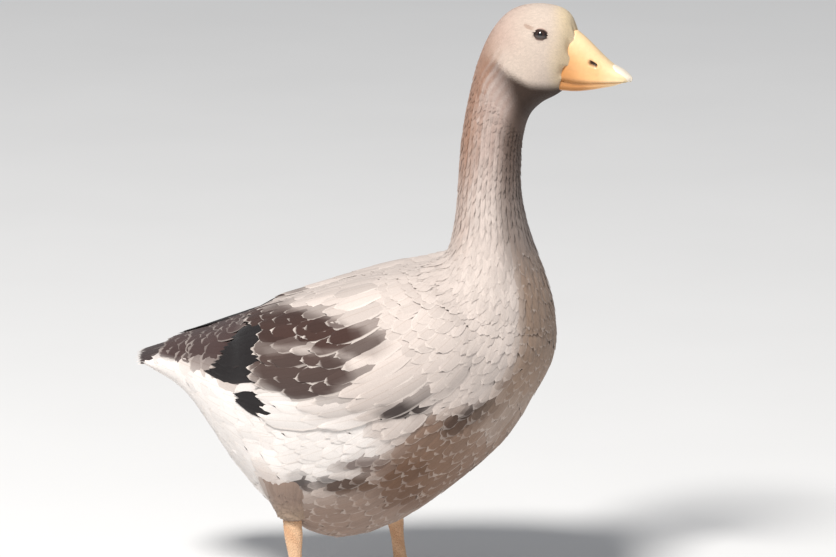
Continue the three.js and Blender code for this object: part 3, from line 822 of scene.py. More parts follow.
def coat_neck():
    """Narrow feathers one behind the other, so that furrows run down the neck."""
    coat = Coat("neck_feathers", MATERIALS["down"])
    t = STATION_T["throat"] - 0.006
    columns = 38
    overlap = 0.3
    made = []
    while t < STATION_T["collar"]:
        by_t = outer.at(t, np.array([-1.2, 1.2]))[2]
        step = along_body(LENGTH, t) * overlap / np.linalg.norm(by_t, axis=-1).mean()
        for shift in (-0.22, 0.0, 0.22):
            a = (np.arange(columns) + shift) / columns * TURN
            row = (t + step * abs(shift), a, step / overlap, TURN / columns * 0.9, shift)
            made.append(np.stack(np.broadcast_arrays(*row), 1))
        t += step
    *roots, shift = np.concatenate(made).T
    roots = scattered(np.array(roots), 0.1, 0.06)
    crest = 0.6 * MM * (1 - np.abs(shift) / 0.11)
    lay_rows(coat, outer, roots, "hackle", depth=coat_depth(roots, 0.8), rise=1.4 * MM, camber=0.5 * MM,
             raised=crest[:, None, None], thickness=0.2 * MM)
    coat.finish("plumage")


def coat_trunk():
    """Contour feathers of breast, flanks, belly and back, in pieces along the body."""
    pieces = {
        "breast_feathers": ("neck root", "breast low"),
        "flank_feathers": ("breast low", "paunch"),
        "vent_feathers": ("paunch", "covert ends"),
    }
    for name, (first, last) in pieces.items():
        coat = Coat(name, MATERIALS["contour"])
        roots = plumage_rows(outer, STATION_T[first], STATION_T[last], overlap=0.34, spacing=0.6)
        last_t = 0.955 + 0.035 * smooth_step(70, 100, degrees_from_back(roots[1]))
        clear = ~in_wing(roots[0], roots[1], 14) & (roots[0] < last_t - 0.04)
        roots[2] = np.minimum(roots[2], last_t - roots[0])
        roots = scattered(roots[:, clear])
        lay_rows(coat, outer, roots, "contour", depth=coat_depth(roots, 0.9), rise=1.3 * MM,
                 camber=0.6 * MM, lap=0.3 * MM, ragged=0.06, blades=0.15 * MM, edge=("fringe", 0.28),
                 local=0.3, spread=0.08)
        coat.finish("plumage")


# Fans of long feathers on a folded wing, the ones in front over those behind: how many, where
# the roots and the tips of the first and the last lie (t, degrees from the back line), their
# widths and how far they stand off in mm, and their colour if it isn't the body's.
SCAPULARS = [(5 + row % 2, (0.475 + 0.033 * row, 13), (0.475 + 0.033 * row, 58 - row),
              (0.585 + 0.033 * row, 14), (0.575 + 0.031 * row, 56 - 2 * row), 29, 27, 1.6, 3.0, None)
             for row in range(6)]
COVERTS = [(8 - row % 2 - row // 3, (0.50 + 0.035 * row, 50), (0.51 + 0.035 * row, 112 - 5 * row),
            (0.60 + 0.036 * row, 48), (0.605 + 0.036 * row, 104 - 6 * row), 26, 22, 2.7, 2.2, None)
           for row in range(5)]
LONG = [(10, (0.635, 46), (0.645, 90), (0.74, 47), (0.772, 78), 25, 20, 1.8, 1.6, None),
        (4, (0.67, 15), (0.67, 36), (0.785, 17), (0.762, 38), 30, 28, 1.8, 2.2, "scapular")]
FANS = SCAPULARS + COVERTS + LONG
QUILLS = {
    "right": [(9, (0.68, 36), (0.68, 62), (0.795, 38), (0.858, 62), 20, 16, 2.0, 0.8, "quill"),
              # Three dark quill tips low under the secondaries, put in the shaded gap where the wing's
              # tip meets the flank: dark feathers standing in for that shade.
              (3, (0.69, 74), (0.69, 82), (0.803, 68.5), (0.8, 72.5), 17, 17, 1.5, 1.5, "quill")],
    "left": [(8, (0.72, 30), (0.70, 60), (0.885, -3), (0.95, 14), 19, 15, 2.0, 1.2, "quill")],
}


def lay_fan(coat, form, sign, fan, outline, jitter, **how):
    """Lays one fan of long feathers on the side that sign says, their tips' t off by jitter."""
    count, root_0, root_1, tip_0, tip_1, wide_0, wide_1, high_0, high_1, colour = fan
    share = (np.arange(count) + 0.5) / count
    places = []
    for first, last, jitter in ((root_0, root_1, 0.003), (tip_0, tip_1, jitter)):
        t = first[0] + (last[0] - first[0]) * share + rng.uniform(-1, 1, count) * jitter
        degrees = first[1] + (last[1] - first[1]) * share + rng.uniform(-0.8, 0.8, count)
        places.append((t, sign * np.radians(degrees)))
    width = (wide_0 + (wide_1 - wide_0) * share) * MM
    raised = (high_0 + (high_1 - high_0) * share) * MM
    coat.lay(form, *places, width, outline, depth=5 * MM, rise=1.2 * MM, camber=1.4 * MM, lap=0.6 * MM,
             raised=raised[:, None, None], colour=colour, **how)


def coat_wings():
    """Rows of coverts over the folded wings, then fans of long feathers, then the quills."""
    for side, sign in SIDES.items():
        coat = Coat("wing_feathers_" + side, MATERIALS["contour"])
        roots = plumage_rows(outer, STATION_T["neck root"] + 0.02, 0.58, overlap=0.34, spacing=0.62,
                             scale=1.25)
        own = in_wing(roots[0], roots[1]) & (np.sin(roots[1]) * sign > 0)
        roots = scattered(roots[:, own], 0.08, 0.08)
        lay_rows(coat, outer, roots, "contour", depth=7 * MM, rise=1.5 * MM, camber=0.7 * MM,
                 lap=0.4 * MM, raised=0.8 * MM, ragged=0.05, blades=0.12 * MM, edge=("fringe", 0.45),
                 local=0.3, spread=0.07)
        coat.finish("plumage")
        fans = Coat("wing_fans_" + side, MATERIALS["long"])
        for fan in FANS:
            lay_fan(fans, outer, sign, fan, "covert", jitter=0.012, ragged=0.05, blades=0.2 * MM,
                    edge=("fringe", 0.7), local=0.45, spread=0.15)
        fans.finish("plumage")
        quills = Coat("flight_quills_" + side, MATERIALS["quill"])
        for fan in QUILLS[side]:
            lay_fan(quills, outer, sign, fan, "quill", jitter=0.003, ragged=0.02, edge=("rump", 0.3))
        quills.finish("quills", "wing_hand_" + side)


# The tail's fan: its middle line's ends in x and z, its half widths, how much lower its sides
# are and how much shorter its outer quills, in mm.
TAIL = {
    "root": (-165, 303),
    "tip": (-281, 259.5),
    "root half": 26,
    "tip half": 42,
    "arch": 8,
    "recess": 20,
}
TAIL_QUILLS = 16


def tail_place(t, a):
    """The fan of the tail: t from its root to its tip, a across it in metres."""
    (x0, z0), (x1, z1) = TAIL["root"], TAIL["tip"]
    t, y = np.broadcast_arrays(t, a / MM)
    out = (y / 54) ** 2
    x = x0 + (x1 - x0) * t + TAIL["recess"] * t * out
    z = z0 + (z1 - z0) * t - TAIL["arch"] * out
    return np.stack([x, y, z], -1) * MM


def coat_tail():
    """The tail's quills, the middle pair on top, with white ends."""
    coat = Coat("tail_quills", MATERIALS["quill"])
    share = (np.arange(TAIL_QUILLS) + 0.5) / TAIL_QUILLS * 2 - 1
    order = np.abs(share) * 3.4 * MM
    roots = (np.zeros(TAIL_QUILLS), share * TAIL["root half"] * MM)
    tips = (np.full(TAIL_QUILLS, 0.985), share * TAIL["tip half"] * MM)
    coat.lay(Sheet(tail_place), roots, tips, 19 * MM, "tail", depth=1 * MM, rise=0.5 * MM,
             camber=0.9 * MM, raised=(0.6 * MM - order)[:, None, None], ragged=0.03, colour="tail",
             edge=("fringe", 0.35), tip="white")
    coat.finish("quills")


# The feathered thighs, from the body down to the hock: the line's ends for each leg, and the
# half widths fore and aft and side to side at even steps, in mm.
THIGH_LINE = {"right": ((-74, 86, 212), (-80, 63, 97)), "left": ((-1, 86, 212), (-7, 63, 95))}
THIGH_FORE = [6, 36, 46, 44, 35, 23, 13.5]
THIGH_SIDE = [4, 22, 29, 28, 23, 16.5, 12]
THIGH_MARKS_A = 2.6  # where round the body the thighs' markings are taken from


def thigh_sheet(side, inward=0.0):
    """The surface of a thigh: t down it and a round it."""
    top, hock = (np.array(point) * (1, SIDES[side], 1) for point in THIGH_LINE[side])

    def place(t, a):
        t, a = np.broadcast_arrays(t, a)
        fore, wide = (spline(radii, t.ravel())[:, 0].reshape(t.shape) - inward
                      for radii in (THIGH_FORE, THIGH_SIDE))
        ring = np.stack([fore * np.cos(a), -wide * np.sin(a), 0 * a], -1)
        return (top + (hock - top) * t[..., None] + ring) * MM

    return Sheet(place)


def coat_thighs():
    """Rows of feathers round each thigh that end in a cuff over the shank."""
    coat = Coat("thigh_feathers", MATERIALS["contour"])
    for side in SIDES:
        form = thigh_sheet(side)
        for row, t in enumerate(np.arange(0.52, 0.90, 0.045)):
            count = int(30 - 16 * (t - 0.5) / 0.4)
            a = (np.arange(count) + 0.5 * (row % 2) + rng.uniform(-0.15, 0.15, count)) / count * TURN
            long = 0.21 - 0.14 * (t - 0.5) / 0.4
            end = t + long * rng.uniform(0.85, 1.1, count)
            width = np.linalg.norm(form.at(np.full(count, t), a)[3], axis=-1) * TURN / count * 1.7
            flank = np.full(count, STATION_T["paunch"]), np.full(count, THIGH_MARKS_A)
            # The thighs take the colour low on the belly, with its painted shade, and their lower parts
            # darken more: painted shade under the body.
            ground = blend(markings(form.at(end, a)[0], *flank), "thigh", smooth_step(0.58, 1.0, t) * 0.9)
            coat.lay(form, (np.full(count, t), a), (end, a + rng.normal(0, 0.06, count)), width,
                     "contour", depth=3 * MM, rise=1.6 * MM, camber=0.7 * MM, ragged=0.12,
                     blades=0.4 * MM, colour=ground)
    coat.finish("plumage")


coat_head()
coat_neck()
coat_trunk()
coat_wings()
coat_tail()
coat_thighs()


def joined(parts):
    """Points and triangles of several solids as one."""
    starts = np.cumsum([0] + [len(points) for points, _ in parts])
    return (np.concatenate([points for points, _ in parts]),
            np.concatenate([faces + start for (_, faces), start in zip(parts, starts)]))


def made_plain(made):
    """Turns what an object's modifiers make of it into its own smooth-shaded mesh."""
    whole = bpy.data.meshes.new_from_object(made.evaluated_get(bpy.context.evaluated_depsgraph_get()))
    made.modifiers.clear()
    made.data = whole
    whole.polygons.foreach_set("use_smooth", np.ones(len(whole.polygons), bool))
    return whole


def fused(made, voxel, rounds):
    """Turns an object's overlapping solids into one smooth skin."""
    remesh = made.modifiers.new("one_skin", "REMESH")
    remesh.mode = "VOXEL"
    remesh.voxel_size = voxel
    soften = made.modifiers.new("soften", "SMOOTH")
    soften.iterations = rounds
    made_plain(made)


SKIN_END = 0.94  # where the skin ends, under the tail's coverts


def body_skin():
    """One closed skin in place of every node of flesh, with the plumage's markings and their painted
    shade.
    """
    grid = under.points[:int(RINGS * SKIN_END):2, ::2]
    t, a = np.meshgrid(np.linspace(0.3, 0.985, 30), TURN * np.arange(40) / 40, indexing="ij")
    thighs = [capped(thigh_sheet(side, 3.0).at(t, a)[0]) for side in SIDES]
    made = mesh_object("skin", *joined([capped(grid), *thighs]), MATERIALS["skin"])
    fused(made, 2.4 * MM, 3)
    t, a = np.meshgrid(np.linspace(0, 1, RINGS)[:int(RINGS * SKIN_END):2],
                       TURN * np.arange(SPOKES)[::2] / SPOKES, indexing="ij")
    tree = kdtree.KDTree(t.size)
    for i, point in enumerate(grid.reshape(-1, 3)):
        tree.insert(point, i)
    tree.balance()
    points = vertices_of(made)
    nearest = np.array([tree.find(point)[1] for point in points])
    set_colour(made, "mark", markings(points, t.ravel()[nearest], a.ravel()[nearest]))
    finished(made, "plumage", *FLESH)
    print("piece skin", len(made.data.polygons) * 2)


body_skin()

# ---------------------------------------------------------------- bill

# Lines of the bill in side view, in mm, from its root to its tip.
CULMEN = [(221.4, 643), (232, 634.5), (242, 625), (252, 615.5), (262, 607.5), (272, 602), (281, 595)]
MOUTH = [(209.4, 591), (222, 589), (237, 589), (253, 590), (268, 591), (279, 591)]
CHIN = [(206.4, 578), (221, 578), (236, 580), (250, 583), (263, 586), (273, 590)]
BILL_HALF = (17.4, 12.6)  # half width at the root and at the tip
NOSTRIL = {"x": 242, "z": 610, "length": 13, "height": 5.4, "tilt": -28, "depth": 4.2}
HIDDEN = 6  # mm of the bill that go on inside the head
MOUTH_Z = 590
BILL_SPOKES = 41  # points over the bill, from one mouth edge to the other
LAMELLAE = 40  # points of the line that the ridges on each edge follow


def bill_half_width(share):
    """The bill's half width at a share of its length, in mm, rounded off at its end."""
    half = BILL_HALF[0] + (BILL_HALF[1] - BILL_HALF[0]) * share
    return half * np.sqrt(np.maximum(1 - share ** 7, 0.02))


def bill_part(crest_line, gap, width_share, length_share, squareness, rise_power):
    """Rings of one half of the bill, domed from the mouth line out to its crest, in mm."""
    share = np.r_[np.full(4, 0.0), np.linspace(0, 1, 76) ** 0.92]
    back = np.r_[np.linspace(1, 0.15, 4), np.zeros(76)] * HIDDEN
    edge = spline(MOUTH, share * length_share)
    crest = spline(crest_line, share)
    half = bill_half_width(share * length_share) * width_share * (1 - back / 60)
    turn = np.linspace(0, math.pi, BILL_SPOKES)[None]
    cosine, sine = np.cos(turn), np.sin(turn)
    power = squareness[0] + (squareness[1] - squareness[0]) * share[:, None]
    lift = sine ** (rise_power[0] + (rise_power[1] - rise_power[0]) * share[:, None])
    y = -half[:, None] * np.sign(cosine) * np.abs(cosine) ** power
    lip = 0.05 * np.exp(-((lift - 0.1) / 0.07) ** 2)
    y = y * (1 + lip - 0.03 * np.exp(-((lift - 0.26) / 0.08) ** 2))
    x = edge[:, :1] + (crest[:, :1] - edge[:, :1]) * lift - back[:, None]
    z = edge[:, 1:] + gap + (crest[:, 1:] - edge[:, 1:] - gap) * lift
    floor_y = np.linspace(0.92, -0.92, 9)[None] * half[:, None]
    floor = [np.broadcast_to(edge[:, :1] - back[:, None], floor_y.shape), floor_y,
             np.broadcast_to(edge[:, 1:] + gap * 2.5, floor_y.shape)]
    return np.stack([np.concatenate(pair, 1) for pair in zip((x, y, z), floor)], -1)


def nostril_share(points):
    """1 in the middle of the nostril, 0 outside it, seen from either side."""
    turn = math.radians(NOSTRIL["tilt"])
    dx, dz = points[..., 0] - NOSTRIL["x"], points[..., 2] - NOSTRIL["z"]
    along = (dx * math.cos(turn) + dz * math.sin(turn)) / NOSTRIL["length"] * 2
    across = (dz * math.cos(turn) - dx * math.sin(turn)) / NOSTRIL["height"] * 2
    return np.hypot(along, across)


def bill_colours(points):
    """Cream along the ridge and at the tip, orange on the sides, brown at the root, and painted shade
    under the root.
    """
    x, z = points[..., 0] / MM, points[..., 2] / MM
    along = (x - 210) / 70 + 0.06 * wobble(points, 9 * MM)
    crest = np.interp(x, [row[0] for row in CULMEN], [row[1] for row in CULMEN])
    high = (z - MOUTH_Z) / np.maximum(crest - MOUTH_Z, 4)
    made = np.broadcast_to(INK["bill"], points.shape)
    made = blend(made, "bill tip", smooth_step(0.35, 1.0, high) * 0.6)
    made = blend(made, "bill root", smooth_step(0.55, 0.05, along + 0.5 * high) * 0.85)
    # Painted shade: the root's lower half is darkened where the base of the lower bill lies in shadow.
    made = blend(made, "bill root", smooth_step(0.5, 0.2, along) * smooth_step(592, 586, z) * 0.8)
    made = blend(made, "bill tip", smooth_step(0.45, 1.0, along) * 0.9)
    return blend(made, "nostril", smooth_step(0.95, 0.6, nostril_share(points / MM)))


def lamella_tree(material):
    """Small upright ridges along a line of edges."""
    tree = bpy.data.node_groups.new("bill_lamellae", "GeometryNodeTree")
    face = tree.interface
    face.new_socket("Geometry", in_out="INPUT", socket_type="NodeSocketGeometry")
    for name, value in (("Spacing", 1.15 * MM), ("Thickness", 0.38 * MM), ("Height", 1.5 * MM)):
        face.new_socket(name, in_out="INPUT", socket_type="NodeSocketFloat").default_value = value
    face.new_socket("Geometry", in_out="OUTPUT", socket_type="NodeSocketGeometry")
    given = add(tree, "NodeGroupInput").outputs
    line = add(tree, "GeometryNodeMeshToCurve", {"Mesh": given["Geometry"]})
    even = add(tree, "GeometryNodeResampleCurve",
               {"Curve": line.outputs[0], "Length": given["Spacing"]}, mode="LENGTH")
    ridge = add(tree, "GeometryNodeMeshUVSphere", {"Radius": given["Thickness"]}, Segments=8, Rings=5)
    tall = add(tree, "ShaderNodeMath", {0: given["Height"], 1: given["Thickness"]}, operation="DIVIDE")
    stretch = add(tree, "ShaderNodeCombineXYZ", {"Z": tall.outputs[0]}, X=1.0, Y=2.2)
    rods = add(tree, "GeometryNodeInstanceOnPoints",
               {"Points": even.outputs[0], "Instance": ridge.outputs[0], "Scale": stretch.outputs[0]})
    real = add(tree, "GeometryNodeRealizeInstances", {"Geometry": rods.outputs[0]})
    done = add(tree, "GeometryNodeSetMaterial", {"Geometry": real.outputs[0]}, Material=material)
    add(tree, "NodeGroupOutput", {"Geometry": done.outputs[0]})
    return tree


def grown(made, tree, **sizes):
    """Replaces an object's mesh by what a node tree makes of it with these sizes."""
    modifier = made.modifiers.new("grown", "NODES")
    modifier.node_group = tree
    for item in tree.interface.items_tree:
        if item.in_out == "INPUT" and item.name in sizes:
            modifier[item.identifier] = sizes[item.name]
    whole = made_plain(made)
    whole.polygons.foreach_set("material_index", np.zeros(len(whole.polygons), np.int32))
    whole.materials.pop(index=0)


def make_bill():
    """Both halves of the bill. Gives the upper one's rings."""
    upper = bill_part(CULMEN, 0.2, 1, 1, (0.86, 0.72), (0.86, 0.62))
    inside = nostril_share(upper)
    on_side = np.sign(upper[..., 1]) * (upper[..., 2] > 596)
    upper[..., 1] -= on_side * (NOSTRIL["depth"] * smooth_step(1.0, 0.45, inside)
                                - 0.45 * np.exp(-((inside - 1.25) / 0.25) ** 2))
    lower = bill_part(CHIN, -0.2, 0.9, 0.95, (0.8, 0.8), (0.7, 0.8))[:, ::-1]
    for name, rings, node in (("upper_bill", upper, "bill_upper"), ("lower_bill", lower, "bill_lower")):
        made = mesh_object(name, *capped(rings[:, ::-1] * MM), MATERIALS["bill"])
        set_colour(made, "mark", bill_colours(vertices_of(made)))
        finished(made, "bill", node)
    return upper


def make_lamellae():
    """A comb of horn ridges along both edges of the closed bill."""
    share = np.linspace(0.04, 0.86, LAMELLAE)
    edge = spline(MOUTH, share)
    half = bill_half_width(share) * 0.9
    lines = [np.stack([edge[:, 0], sign * half, edge[:, 1]], 1) for sign in (-1, 1)]
    mesh = bpy.data.meshes.new("bill_lamellae")
    links = [(i, i + 1) for i in range(2 * LAMELLAE - 1) if i != LAMELLAE - 1]
    mesh.from_pydata((np.concatenate(lines) * MM).tolist(), links, [])
    made = bpy.data.objects.new("bill_lamellae", mesh)
    bpy.context.scene.collection.objects.link(made)
    comb = lamella_tree(MATERIALS["bill"])
    grown(made, comb, Spacing=1.15 * MM, Thickness=0.36 * MM, Height=1.5 * MM)
    set_colour(made, "mark", INK["bill"])
    finished(made, "bill")


# The nail: how many of the bill's last rings it lies on, its points across, its half width in
# degrees round the bill at shares of its length, and in mm how high its middle stands, how far
# it goes down into the bill, and how far its end bulges forward and down.
NAIL_RINGS = 30
NAIL_COLUMNS = 17
NAIL_HALF = [0, 0.08, 0.3, 0.75, 1], [3, 24, 46, 60, 84]
NAIL_HEIGHT = 1.1
NAIL_DEPTH = 0.9
NAIL_BULGE = (1.1, 0, -0.4)


def nail_rows(upper):
    """Rows of points across the bill's tip, from the nail's root and round its end."""
    rings = upper[-NAIL_RINGS:, :BILL_SPOKES]
    share = np.linspace(0, 1, NAIL_RINGS)
    across = np.linspace(-1, 1, NAIL_COLUMNS)
    turned = 90 + np.interp(share, *NAIL_HALF)[:, None] * across
    angles = np.linspace(0, 180, BILL_SPOKES)
    lying = np.stack([[np.interp(row, angles, ring[:, k]) for row, ring in zip(turned, rings)]
                      for k in range(3)], -1)
    lying[..., 2] -= 1.6 * smooth_step(0.7, 1, share)[:, None] * across ** 2
    bend = math.pi / 2 * np.linspace(0, 0.93, 6)[1:, None, None]
    heart = lying[-1, [0, -1]].mean(0) + (0, 0, 0.6)
    end = heart + (lying[-1] - heart) * np.cos(bend) + np.sin(bend) * NAIL_BULGE
    return np.concatenate([lying, end])


def make_nail(upper):
    """The horn nail: a shield that lies on the bill's tip and hooks down over it."""
    place = nail_rows(upper)
    normal = unit(np.cross(np.gradient(place, axis=0), np.gradient(place, axis=1)))
    normal *= np.sign(normal[NAIL_RINGS // 2, NAIL_COLUMNS // 2, 2])
    for _ in range(6):
        wide = np.pad(normal, ((1, 1), (1, 1), (0, 0)), "edge")
        normal = unit(wide[2:, 1:-1] + wide[:-2, 1:-1] + wide[1:-1, 2:] + wide[1:-1, :-2] + normal)
    across = np.linspace(-1, 1, NAIL_COLUMNS)[None]
    along = np.linspace(0, 1, len(place))[:, None]
    height = NAIL_HEIGHT * (1 - across ** 4) * smooth_step(0, 0.12, along) * smooth_step(1.15, 0.8, along)
    top = place + normal * (height - 0.2)[..., None]
    points = two_sheets(top[None], (place - normal * NAIL_DEPTH)[None])
    faces = vane_quads(len(place), NAIL_COLUMNS)[:, ::-1]
    made = mesh_object("nail", points * MM, faces, MATERIALS["nail"])
    set_colour(made, "mark", INK["nail"])
    finished(made, "bill_nail", "bill_nail")


# ---------------------------------------------------------------- eyes

EYE_SIDE = Vector((0.10, 1, 0.24)).normalized()  # where the left eye looks
EYE_SUNK = 1.0 * MM
PUPIL_EDGE = (17, 20)  # degrees from the line of sight
IRIS_EDGE = (33, 38)


def eye_frame(side):
    """The eye's middle, radius, and its outward, forward and upward directions."""
    middle, radius = EYES[side]
    out = np.array(EYE_SIDE) * (1, SIDES[side], 1)
    fore = unit(np.array([1, 0, -0.1]) - out * out[0])
    up = unit(np.cross(out, fore))
    return middle - out * EYE_SUNK, radius, out, fore, up * np.sign(up[2])


def make_eye(side):
    """An eyeball with a round pupil and a brown iris."""
    middle, radius, out, fore, up = eye_frame(side)
    polar = np.linspace(0.02, math.pi - 0.02, 48)[:, None]
    turn = (TURN * np.arange(64) / 64)[None] * SIDES[side]
    flat = np.sin(polar)
    ball = [flat * np.cos(turn), flat * np.sin(turn), np.cos(polar) * np.ones_like(turn)]
    cornea = radius * (1 + 0.035 * smooth_step(0.75, 0.0, polar))
    rings = middle + sum((part * cornea)[..., None] * line for part, line in zip(ball, (fore, up, out)))
    made = mesh_object("eyeball_" + side, *capped(rings), MATERIALS["eye"])
    angle = np.degrees(np.arccos(np.clip(dot(unit(vertices_of(made) - middle), out), -1, 1)))
    colours = np.broadcast_to(INK["pupil"], (len(angle), 3))
    colours = blend(colours, "iris", smooth_step(*PUPIL_EDGE, angle))
    set_colour(made, "mark", blend(colours, "pupil", smooth_step(*IRIS_EDGE, angle) * 0.9))
    finished(made, "eye", "eye_" + side)


LID_OPENING = {"upper": 28, "lower": 31, "corner": 56}  # degrees from the line of sight
LID_WIDTH = (24, 9)  # degrees, and what the upper lid has more
LID_SWELL = (0.5 * MM, 0.45 * MM)
LID_SPOKES = 96


def make_lids(side):
    """Bare folds over and under the eye that meet in a corner fore and aft."""
    middle, radius, out, fore, up = eye_frame(side)
    turn = TURN * np.arange(LID_SPOKES) / LID_SPOKES
    cosine, sine = np.cos(turn), np.sin(turn)
    upper = np.maximum(sine, 0)
    round_it = np.abs(sine) ** 1.1
    middle_opening = np.where(sine > 0, LID_OPENING["upper"], LID_OPENING["lower"])
    opening = np.radians(middle_opening * round_it + LID_OPENING["corner"] * (1 - round_it))
    away = fore * cosine[:, None] + up * sine[:, None]
    across = np.linspace(0, 1, 11)
    reach = opening[:, None] + across * np.radians(LID_WIDTH[0] + LID_WIDTH[1] * upper)[:, None]
    swell = (LID_SWELL[0] + LID_SWELL[1] * upper)[:, None] * np.sin(math.pi * across ** 0.5) + 0.15 * MM
    arms = out * np.cos(reach)[..., None] + away[:, None] * np.sin(reach)[..., None]
    top = middle + (radius + swell)[..., None] * arms
    low = middle + (radius - 0.5 * MM) * arms
    band = np.concatenate([top, low[:, ::-1]], 1)
    band = band[:, ::-1] if SIDES[side] > 0 else band
    around = band.shape[1]
    faces = ring_quads(LID_SPOKES + 1, around) % (LID_SPOKES * around)
    made = mesh_object("eyelids_" + side, band, faces, MATERIALS["lid"])
    # The lids' inner part is dark and their outer part takes the crown's colour; the dark rim is partly
    # their own, partly painted shade round the eye.
    pale = np.broadcast_to(smooth_step(0.2, 0.5, np.r_[across, across[::-1]]), band.shape[:2]).ravel()
    set_colour(made, "mark", blend(np.broadcast_to(INK["lid"], (len(pale), 3)), "crown", pale))
    finished(made, "leg_skin")


# ---------------------------------------------------------------- legs and feet

CLAWS = ("inner", "middle", "outer", "hind")


def cad_copy(name, nodes, material):
    """The solids of some CAD nodes as one object, with their loose corners merged."""
    parts = []
    for node in nodes:
        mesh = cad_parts[node].data
        points = np.array([v.co for v in mesh.vertices])
        corners, merged = np.unique(points.round(6), axis=0, return_inverse=True)
        faces = merged.ravel()[np.array([list(face.vertices) for face in mesh.polygons])]
        whole = (faces != np.roll(faces, 1, 1)).all(1)
        parts.append((corners, faces[whole]))
    return mesh_object(name, *joined(parts), material)


def settled(made, floor=0.0):
    """Presses what smoothing left under or off the floor back onto it."""
    points = vertices_of(made)
    points[:, 2] = np.maximum(points[:, 2], floor)
    made.data.vertices.foreach_set("co", points.ravel())
    made.data.update()


def leg_colours(points):
    """Pale orange skin, darker in blotches and along the soles."""
    made = np.broadcast_to(INK["leg"], points.shape)
    made = blend(made, "leg shade", smooth_step(-0.2, 0.9, wobble(points, 6 * MM)) * 0.35)
    return blend(made, "leg shade", smooth_step(4, 0, points[..., 2] / MM) * 0.5)


def scale_tree(material):
    """Small domed scales spread over a surface, each lying on it."""
    tree = bpy.data.node_groups.new("leg_scutes", "GeometryNodeTree")
    face = tree.interface
    face.new_socket("Geometry", in_out="INPUT", socket_type="NodeSocketGeometry")
    for name, value in (("Distance", 2.1 * MM), ("Radius", 1.25 * MM), ("Density", 600000.0)):
        face.new_socket(name, in_out="INPUT", socket_type="NodeSocketFloat").default_value = value
    face.new_socket("Seed", in_out="INPUT", socket_type="NodeSocketInt").default_value = 5
    face.new_socket("Geometry", in_out="OUTPUT", socket_type="NodeSocketGeometry")
    given = add(tree, "NodeGroupInput").outputs
    spread = add(tree, "GeometryNodeDistributePointsOnFaces",
                 {"Mesh": given["Geometry"], "Distance Min": given["Distance"],
                  "Density Max": given["Density"], "Seed": given["Seed"]}, distribute_method="POISSON")
    dome = add(tree, "GeometryNodeMeshUVSphere", {"Radius": given["Radius"]}, Segments=6, Rings=4)
    flat = add(tree, "ShaderNodeCombineXYZ", X=1.0, Y=1.0, Z=0.32)
    scales = add(tree, "GeometryNodeInstanceOnPoints",
                 {"Points": spread.outputs["Points"], "Instance": dome.outputs[0],
                  "Rotation": spread.outputs["Rotation"], "Scale": flat.outputs[0]})
    real = add(tree, "GeometryNodeRealizeInstances", {"Geometry": scales.outputs[0]})
    done = add(tree, "GeometryNodeSetMaterial", {"Geometry": real.outputs[0]}, Material=material)
    add(tree, "NodeGroupOutput", {"Geometry": done.outputs[0]})
    return tree


def make_legs():
    """Each leg's skin with its foot and webs, the scutes over it and the claws."""
    scutes = scale_tree(MATERIALS["leg"])
    for side in SIDES:
        nodes = ("shank_" + side, "foot_" + side)
        leg = cad_copy("leg_" + side, nodes, MATERIALS["leg"])
        fused(leg, 0.9 * MM, 9)
        settled(leg)
        set_colour(leg, "mark", leg_colours(vertices_of(leg)))
        finished(leg, "leg_skin", *nodes)
        scales = bpy.data.objects.new("scutes_" + side, leg.data.copy())
        bpy.context.scene.collection.objects.link(scales)
        grown(scales, scutes, Distance=2.1 * MM, Radius=1.25 * MM)
        settled(scales)
        set_colour(scales, "mark", leg_colours(vertices_of(scales)))
        finished(scales, "leg_skin")
        for toe in CLAWS:
            node = f"claw_{side}_{toe}"
            claw = cad_copy(f"horn_{side}_{toe}", [node], MATERIALS["claw"])
            fused(claw, 0.35 * MM, 8)
            settled(claw, 0.1 * MM)
            set_colour(claw, "mark", INK["claw"])
            finished(claw, "claw", node)


upper_rings = make_bill()
make_lamellae()
make_nail(upper_rings)
for side_name in SIDES:
    make_eye(side_name)
    make_lids(side_name)
make_legs()

# ---------------------------------------------------------------- floor, light and camera

VIEW_AZIMUTH = math.radians(18)
VIEW_HEIGHT = math.radians(12)
VIEW_DISTANCE = 6.0
AIM = Vector((0.0432, 0, 0.3623))
FRAME_WIDTH = 0.903  # metres that the picture spans at the goose
KEY_TURN = math.radians(-27)
KEY_HEIGHT = math.radians(52)
KEY_DISTANCE = 8.0
KEY_SIZE = 2.0
KEY_WATTS = 830
KEY_COLOUR = (1, 0.975, 0.94)
SKY_COLOUR = (0.92, 0.95, 1, 1)
SKY_STRENGTH = 0.33
FLOOR_HALF = 12


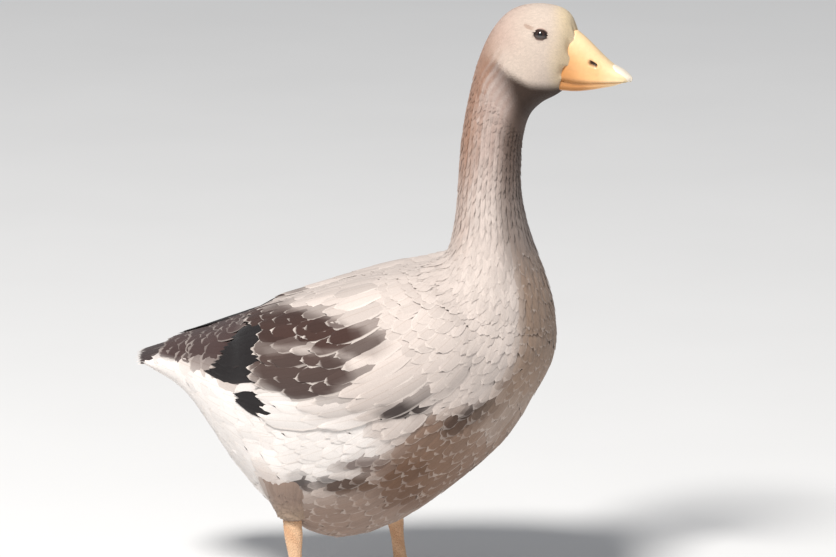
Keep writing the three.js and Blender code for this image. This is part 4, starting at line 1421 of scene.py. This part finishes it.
def towards(azimuth, height):
    """The direction from the goose to something at that azimuth and height."""
    flat = math.cos(height)
    return Vector((math.sin(azimuth) * flat, -math.cos(azimuth) * flat, math.sin(height)))


def aimed(name, data, direction, distance):
    """A lamp or camera that looks at the goose from a direction."""
    made = bpy.data.objects.new(name, data)
    made.location = AIM + direction * distance
    made.rotation_mode = "QUATERNION"
    made.rotation_quaternion = (-direction).to_track_quat("-Z", "Y")
    bpy.context.scene.collection.objects.link(made)
    return made


def set_stage():
    """A plain pale floor, one soft lamp and an even sky."""
    paper, tree, surface = new_material("studio_floor", 0.9, 0.2)
    tone = add(tree, "ShaderNodeMapRange", {"Value": object_noise(tree, 3)}, To_Min=0.8, To_Max=0.84)
    grey = add(tree, "ShaderNodeCombineColor", {k: tone.outputs[0] for k in ("Red", "Green", "Blue")})
    tree.links.new(grey.outputs[0], surface.inputs["Base Color"])
    corners = [(x * FLOOR_HALF, y * FLOOR_HALF, 0) for x, y in ((-1, -1), (1, -1), (1, 1), (-1, 1))]
    floor = mesh_object("floor", corners, [(0, 1, 2, 3)], paper)
    lamp = bpy.data.lights.new("key", "AREA")
    lamp.shape = "DISK"
    lamp.size = KEY_SIZE
    lamp.energy = KEY_WATTS
    lamp.color = KEY_COLOUR
    aimed("key", lamp, towards(VIEW_AZIMUTH + KEY_TURN, KEY_HEIGHT), KEY_DISTANCE)
    world = bpy.data.worlds.new("studio")
    world.use_nodes = True
    sky = world.node_tree.nodes["Background"]
    sky.inputs["Color"].default_value = SKY_COLOUR
    sky.inputs["Strength"].default_value = SKY_STRENGTH
    bpy.context.scene.world = world


def set_camera():
    """A long lens that looks slightly down on the goose's right side."""
    lens = bpy.data.cameras.new("camera")
    lens.sensor_width = 36
    lens.lens = 36 * VIEW_DISTANCE / FRAME_WIDTH
    lens.clip_end = 60
    bpy.context.scene.camera = aimed("camera", lens, towards(VIEW_AZIMUTH, VIEW_HEIGHT), VIEW_DISTANCE)


set_stage()
set_camera()
bpy.context.scene.view_settings.view_transform = "Standard"
